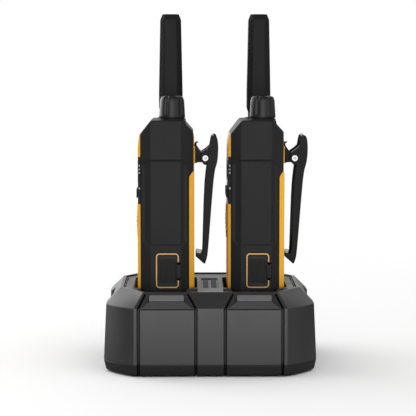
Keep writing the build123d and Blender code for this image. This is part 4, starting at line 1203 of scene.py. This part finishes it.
def light_bar(side):
    """Bar lens: a slab laid on the pad's upper face by shearing its height with its depth."""
    corners = box_corners(*sorted((side * 17.5, side * 40.1)), -56.95, -52.05)
    vertices, faces = slab(corners, "z", 0.0, 0.6, 0.5, 0.2)
    lean = (PAD_HEAD[2] - PAD_RIDGE[2]) / (PAD_HEAD[1] - PAD_RIDGE[1])
    sunk = 0.2
    vertices[:, 2] += PAD_RIDGE[2] + (vertices[:, 1] - PAD_RIDGE[1]) * lean - sunk
    return vertices, faces


def label_bar():
    """Black bar along the far edge of the plate between the bays: a slab with rounded rims."""
    low, high = node_box("dock_centre_plate")
    side_gap, far_gap, deep, foot, tall = 0.3, 0.2, 1.3, 0.1, 1.15
    far = high[1] - far_gap
    corners = box_corners(low[0] + side_gap, high[0] - side_gap, far - deep, far)
    return slab(corners, "z", low[2] + foot, low[2] + foot + tall, 0.5, 0.15)


# ---------------------------------------------------------------- settings
class RadioSetFinish(bpy.types.PropertyGroup):
    """Colours of the set."""
    body_colour: bpy.props.FloatVectorProperty(
        name="Body", description="Black of the radio bodies", subtype="COLOR", size=3,
        default=(0.021, 0.021, 0.022), min=0, max=1)
    shell_colour: bpy.props.FloatVectorProperty(
        name="Covers", description="Yellow of the two covers", subtype="COLOR", size=3,
        default=(0.80, 0.40, 0.022), min=0, max=1)
    dock_colour: bpy.props.FloatVectorProperty(
        name="Dock", description="Charcoal of the dock's shell", subtype="COLOR", size=3,
        default=(0.021, 0.021, 0.0225), min=0, max=1)
    trim_colour: bpy.props.FloatVectorProperty(
        name="Port trim", description="Tan line round the accessory port", subtype="COLOR", size=3,
        default=(0.66, 0.40, 0.15), min=0, max=1)


class RadioSetStage(bpy.types.PropertyGroup):
    """Camera, lamps and floor."""
    camera_distance: bpy.props.FloatProperty(
        name="Camera distance", description="From the camera to the dock's middle, along the floor",
        default=1.020, min=0.3, unit="LENGTH")
    camera_height: bpy.props.FloatProperty(
        name="Camera height", description="Camera above the floor", default=0.2042, unit="LENGTH")
    focal_length: bpy.props.FloatProperty(
        name="Focal length", description="Lens on a 36 mm sensor", default=128.6, min=10,
        unit="CAMERA")
    backdrop_strength: bpy.props.FloatProperty(
        name="Backdrop", description="Brightness of the white surroundings", default=0.78, min=0)
    key_power: bpy.props.FloatProperty(
        name="Key lamp", description="Power of the large lamp at the upper left", default=7.0,
        min=0, unit="POWER")


# ---------------------------------------------------------------- operators
class PieceOperator:
    """What every operator here shares."""
    bl_options = {"REGISTER", "UNDO"}


class RADIOSET_OT_body(PieceOperator, bpy.types.Operator):
    """Body, collars and the yellow covers of both radios"""
    bl_idname = "radioset.body"
    bl_label = "Bodies and covers"

    def execute(self, context):
        look = finishes()
        body = joined([body_surface(), collar(control_centre("knob"), 9.0, 8.3),
                       collar(control_centre("antenna"), 9.4, 7.0)])
        front = front_cover_surfaces()
        back = joined([back_cover_surface(), tongue_surface(), *bracket_cheeks()])
        for side in SIDES:
            clad(look, side, [
                ("body_shell", body, "body", "radio", "case", "body_black"),
                ("front_shell", front, "shell", "radio", "front_cover", "shell_yellow"),
                ("battery_shell", back, "shell", "radio", "back_cover", "shell_yellow")])
        return {"FINISHED"}


class RADIOSET_OT_controls(PieceOperator, bpy.types.Operator):
    """Knobs, antennas, front keys and talk buttons"""
    bl_idname = "radioset.controls"
    bl_label = "Controls"

    def execute(self, context):
        look = finishes()
        knob, whip = knob_surface(), antenna_surface()
        for side in SIDES:
            clad(look, side, [
                ("volume_knob", knob, "knob", "knob", "knob", "knob_black", 50),
                ("whip", whip, "antenna", "radio", "antenna", "antenna_rubber", 50)])
            finish_nodes(look, {
                "key_up": "rubber", "key_menu": "rubber", "key_down": "rubber",
                "ptt_button": "rubber", "knob_shaft": "steel"}, side + "_")
        return {"FINISHED"}


class RADIOSET_OT_port(PieceOperator, bpy.types.Operator):
    """Accessory port: tan trim, rubber flap and socket"""
    bl_idname = "radioset.port"
    bl_label = "Accessory ports"

    def execute(self, context):
        look = finishes()
        trim, flap = trim_surface(), port_cover_surface()
        for side in SIDES:
            clad(look, side, [
                ("port_line", trim, "trim", "radio", "port_trim", "trim_gold", 60),
                ("port_flap", flap, "rubber", "port_cover", "port_cover", "rubber_black")])
            finish_nodes(look, {"accessory_jack": "panel"}, side + "_")
        return {"FINISHED"}


class RADIOSET_OT_clip(PieceOperator, bpy.types.Operator):
    """Glossy belt clips with their pins, springs and brackets"""
    bl_idname = "radioset.clip"
    bl_label = "Belt clips"

    def execute(self, context):
        look = finishes()
        arm = joined([clip_arm_surface(), clip_lip_surface(), *clip_ear_surfaces()])
        coil = clip_spring_surface()
        for side in SIDES:
            clad(look, side, [
                ("belt_clip", arm, "clip", "clip", "clip_arm", "clip_gloss", 45),
                ("clip_coil", coil, "steel", "radio", "clip_spring", "steel", 60)])
            finish_nodes(look, {"clip_bracket": "clip", "clip_pin": "pin"}, side + "_")
        return {"FINISHED"}


class RADIOSET_OT_display(PieceOperator, bpy.types.Operator):
    """Control panels, display windows and their printed marks, and the speaker grilles"""
    bl_idname = "radioset.display"
    bl_label = "Front panels"

    def execute(self, context):
        look = finishes()
        panel, cloth, bars = panel_surface(), grille_surfaces(), grille_bars()
        window_corners = box_corners(LENS_LOW[1], LENS_HIGH[1], LENS_LOW[2], LENS_HIGH[2])
        window = slab(window_corners, "x", -17.6, PANEL_FACE - 0.2, 1.5, 0.15, crown=-0.12)
        marks, segments = panel_marks(), display_segments()
        for side in SIDES:
            clad(look, side, [
                ("panel_plate", panel, "panel", "radio", "control_panel", "panel_black"),
                ("window", window, "lens", "radio", "display_lens", "lens_gloss"),
                ("grille_cloth", cloth, "mesh", "radio", "speaker_grille", "body_black"),
                ("grille_bars", bars, "body", "radio", None, "body_black"),
                ("panel_marks", marks, "mark", "radio", None, "panel_black"),
                ("segments", segments, "segment", "radio", None, "lens_gloss")])
        return {"FINISHED"}


class RADIOSET_OT_inner(PieceOperator, bpy.types.Operator):
    """Finishes of the parts inside the radios and the dock"""
    bl_idname = "radioset.inner"
    bl_label = "Inner parts"

    def execute(self, context):
        look = finishes()
        for side in SIDES:
            finish_nodes(look, {
                "speaker": "cone", "main_board": "board", "battery_pack": "battery",
                "case_screws": "steel", "charge_contacts": "brass"}, side + "_")
        finish_nodes(look, {
            "board": "board", "contact_pins": "brass", "screws": "steel", "feet": "foot",
            "power_socket": "panel"}, "dock_")
        return {"FINISHED"}


class RADIOSET_OT_dock(PieceOperator, bpy.types.Operator):
    """Dock shell, band, tray, light bars and label plate"""
    bl_idname = "radioset.dock"
    bl_label = "Dock"

    def execute(self, context):
        look = finishes()
        lights = joined([light_bar(-1), light_bar(1)])
        for name, part, finish, replaced, slot, sharp in (
                ("upper", dock_shell_surface(), "dock", "dock_shell", "dock_grey", 30),
                ("band", dock_base_surface(), "base", "dock_base", "dock_base_grey", 30),
                ("light_bars", lights, "light", "dock_status_lights", "light_lens", 38)):
            piece("dock_" + name, part, look[finish], "dock", [replaced], slot, sharp=sharp)
        softened("dock_insert", "dock_tray", look["tray"], "dock", 0.35)
        softened("dock_label_plate", "dock_centre_plate", look["tray"], "dock", 0.12)
        piece("dock_label_bar", label_bar(), look["antenna"], "dock", (), "tray_grey")
        return {"FINISHED"}


def area_lamp(name, place, target, size, power):
    """Square white area lamp at a place in metres, turned towards the target.

    Shiny surfaces see the surroundings' own soft lamps instead of it."""
    data = bpy.data.lights.new(name, "AREA")
    data.shape = "RECTANGLE"
    data.size = data.size_y = size
    data.energy = power
    lamp = bpy.data.objects.new(name, data)
    bpy.context.scene.collection.objects.link(lamp)
    lamp.location = place
    aim = Vector(target) - Vector(place)
    lamp.rotation_euler = aim.to_track_quat("-Z", "Y").to_euler()
    lamp.visible_glossy = False
    return lamp


def lobe(tree, direction, aim, tightness, strength):
    """Soft lamp in the surroundings: strength times e to the tightness times (cosine less one)."""
    dot = add(tree, "VectorMath", {0: direction, 1: Vector(aim).normalized()},
              operation="DOT_PRODUCT")
    fall = maths(tree, "MULTIPLY", maths(tree, "SUBTRACT", dot.outputs["Value"], 1.0), tightness)
    return maths(tree, "MULTIPLY", maths(tree, "EXPONENT", fall), strength)


# soft lamps that only shiny surfaces see: (aim, tightness, strength)
REFLECTED = (
    ((0.0, 1.0, 0.05), 7.0, 0.75),          # far side, level
    ((-0.49, 0.60, 0.64), 9.0, 0.95),       # high on the far left
    ((0.49, 0.60, 0.64), 9.0, 0.42),        # high on the far right
    ((-1.0, 0.75, 0.02), 9.0, 4.1),         # low on the left
    ((0.0, -1.0, 0.10), 9.0, 2.6),          # before the dock, level
    ((1.0, -0.35, 0.05), 9.0, 0.7),         # low on the right
    ((-0.55, -0.80, 0.25), 60.0, 1.5),      # narrow, before the set on the left
    ((0.72, -0.66, 0.25), 60.0, 1.2))       # narrow, before the set on the right
GLOSSY_BASE = 0.1                           # what shiny surfaces see between those lamps
DOME_SHARE = 0.74                           # even part of the dome that matt surfaces see
SIDE_GLOW = ((0.8, -0.6, 0.3), 2.5, 1.3)    # its brighter part, at the front right


def surroundings(strength):
    """White to the camera, an even dome to matt surfaces and a set of soft lamps to shiny ones."""
    world = bpy.data.worlds.new("White surroundings")
    world.use_nodes = True
    tree = world.node_tree
    direction = add(tree, "TexCoord").outputs["Generated"]
    seen = GLOSSY_BASE
    for aim, tightness, level in REFLECTED:
        seen = maths(tree, "ADD", lobe(tree, direction, aim, tightness, level), seen)
    aim, tightness, level = SIDE_GLOW
    side_glow = lobe(tree, direction, aim, tightness, level * strength)
    even = maths(tree, "ADD", side_glow, DOME_SHARE * strength)
    path = add(tree, "LightPath").outputs
    dome = add(tree, "Mix", {"Factor": path["Is Glossy Ray"], "A": even, "B": seen})
    shown = add(tree, "Mix", {
        "Factor": path["Is Camera Ray"], "A": dome.outputs["Result"], "B": 1.0})
    feed(tree, tree.nodes["Background"], {
        "Color": (1, 1, 1, 1), "Strength": shown.outputs["Result"]})
    return world


def paper_material():
    """White paper that fades into the white surroundings with distance.

    Shiny surfaces see it glow dimly instead, brighter towards the front and the middle."""
    made, tree, shader, place = new_material("Studio paper")
    feed(tree, shader, {"Base Color": (0.94, 0.94, 0.94, 1), "Roughness": 0.7,
                        "Specular IOR Level": 0.1})
    far = add(tree, "VectorMath", {0: place}, operation="LENGTH").outputs["Value"]
    faded = add(tree, "MixShader", {
        "Fac": remap(tree, far, (0.17, 0.66), soft=True), 1: shader.outputs["BSDF"],
        2: add(tree, "Emission").outputs["Emission"]})
    parts = add(tree, "SeparateXYZ", {"Vector": place}).outputs
    ahead = remap(tree, parts["Y"], (-0.12, -0.6), (0.2, 1.9))
    beside = remap(tree, maths(tree, "ABSOLUTE", parts["X"]), (0.1, 0.45), (1.0, 0.12))
    dim = add(tree, "Emission", {"Strength": maths(tree, "MULTIPLY", ahead, beside)})
    chosen = add(tree, "MixShader", {
        "Fac": add(tree, "LightPath").outputs["Is Glossy Ray"], 1: faded.outputs["Shader"],
        2: dim.outputs["Emission"]})
    feed(tree, tree.nodes["Material Output"], {"Surface": chosen.outputs["Shader"]})
    return made


KEY_PLACE, KEY_TARGET, KEY_SIZE = (-0.75, 0.25, 1.0), (0.02, 0, 0.02), 1.1
FLOOR_SIZE = 6.0
CAMERA_SHIFT = -0.0121                      # camera's place across the set, in metres
CAMERA_TILT, CAMERA_TURN = math.radians(84.5), math.radians(-0.62)
SENSOR_WIDTH = 36.0


class RADIOSET_OT_stage(PieceOperator, bpy.types.Operator):
    """White studio floor, surroundings, lamps and camera"""
    bl_idname = "radioset.stage"
    bl_label = "Studio"

    def execute(self, context):
        scene = context.scene
        stage = scene.radio_set_stage
        scene.world = surroundings(stage.backdrop_strength)
        bpy.ops.mesh.primitive_plane_add(size=FLOOR_SIZE, location=(0, 0, 0))
        floor = context.active_object
        floor.name = "studio_floor"
        floor.data.materials.append(paper_material())
        area_lamp("Key lamp", KEY_PLACE, KEY_TARGET, KEY_SIZE, stage.key_power)
        data = bpy.data.cameras.new("Camera")
        data.lens, data.sensor_width = stage.focal_length, SENSOR_WIDTH
        data.clip_start, data.clip_end = 0.05, 20.0
        camera = bpy.data.objects.new("Camera", data)
        scene.collection.objects.link(camera)
        camera.location = (CAMERA_SHIFT, -stage.camera_distance, stage.camera_height)
        camera.rotation_euler = (CAMERA_TILT, 0, CAMERA_TURN)
        scene.camera = camera
        scene.view_settings.view_transform = "Standard"
        return {"FINISHED"}


PIECES = (RADIOSET_OT_body, RADIOSET_OT_controls, RADIOSET_OT_port, RADIOSET_OT_clip,
          RADIOSET_OT_display, RADIOSET_OT_inner, RADIOSET_OT_dock, RADIOSET_OT_stage)


class RADIOSET_PT_panel(bpy.types.Panel):
    """Lists the set's settings and builders"""
    bl_idname = "RADIOSET_PT_panel"
    bl_label = "Radio Set"
    bl_space_type = "VIEW_3D"
    bl_region_type = "UI"
    bl_category = "Radio Set"

    def draw(self, context):
        for settings in (context.scene.radio_set_finish, context.scene.radio_set_stage):
            for name in settings.__annotations__:
                self.layout.prop(settings, name)
        for operator in PIECES:
            self.layout.operator(operator.bl_idname)


CLASSES = (RadioSetFinish, RadioSetStage, *PIECES, RADIOSET_PT_panel)


def register():
    """Adds the panel, the settings and the builders."""
    for made in CLASSES:
        bpy.utils.register_class(made)
    bpy.types.Scene.radio_set_finish = bpy.props.PointerProperty(type=RadioSetFinish)
    bpy.types.Scene.radio_set_stage = bpy.props.PointerProperty(type=RadioSetStage)


def unregister():
    """Takes them away again."""
    del bpy.types.Scene.radio_set_finish
    del bpy.types.Scene.radio_set_stage
    for made in reversed(CLASSES):
        bpy.utils.unregister_class(made)


def main():
    """Builds every piece and the stage."""
    register()
    for operator in PIECES:
        group, name = operator.bl_idname.split(".")
        getattr(getattr(bpy.ops, group), name)()


if __name__ == "__main__":
    main()
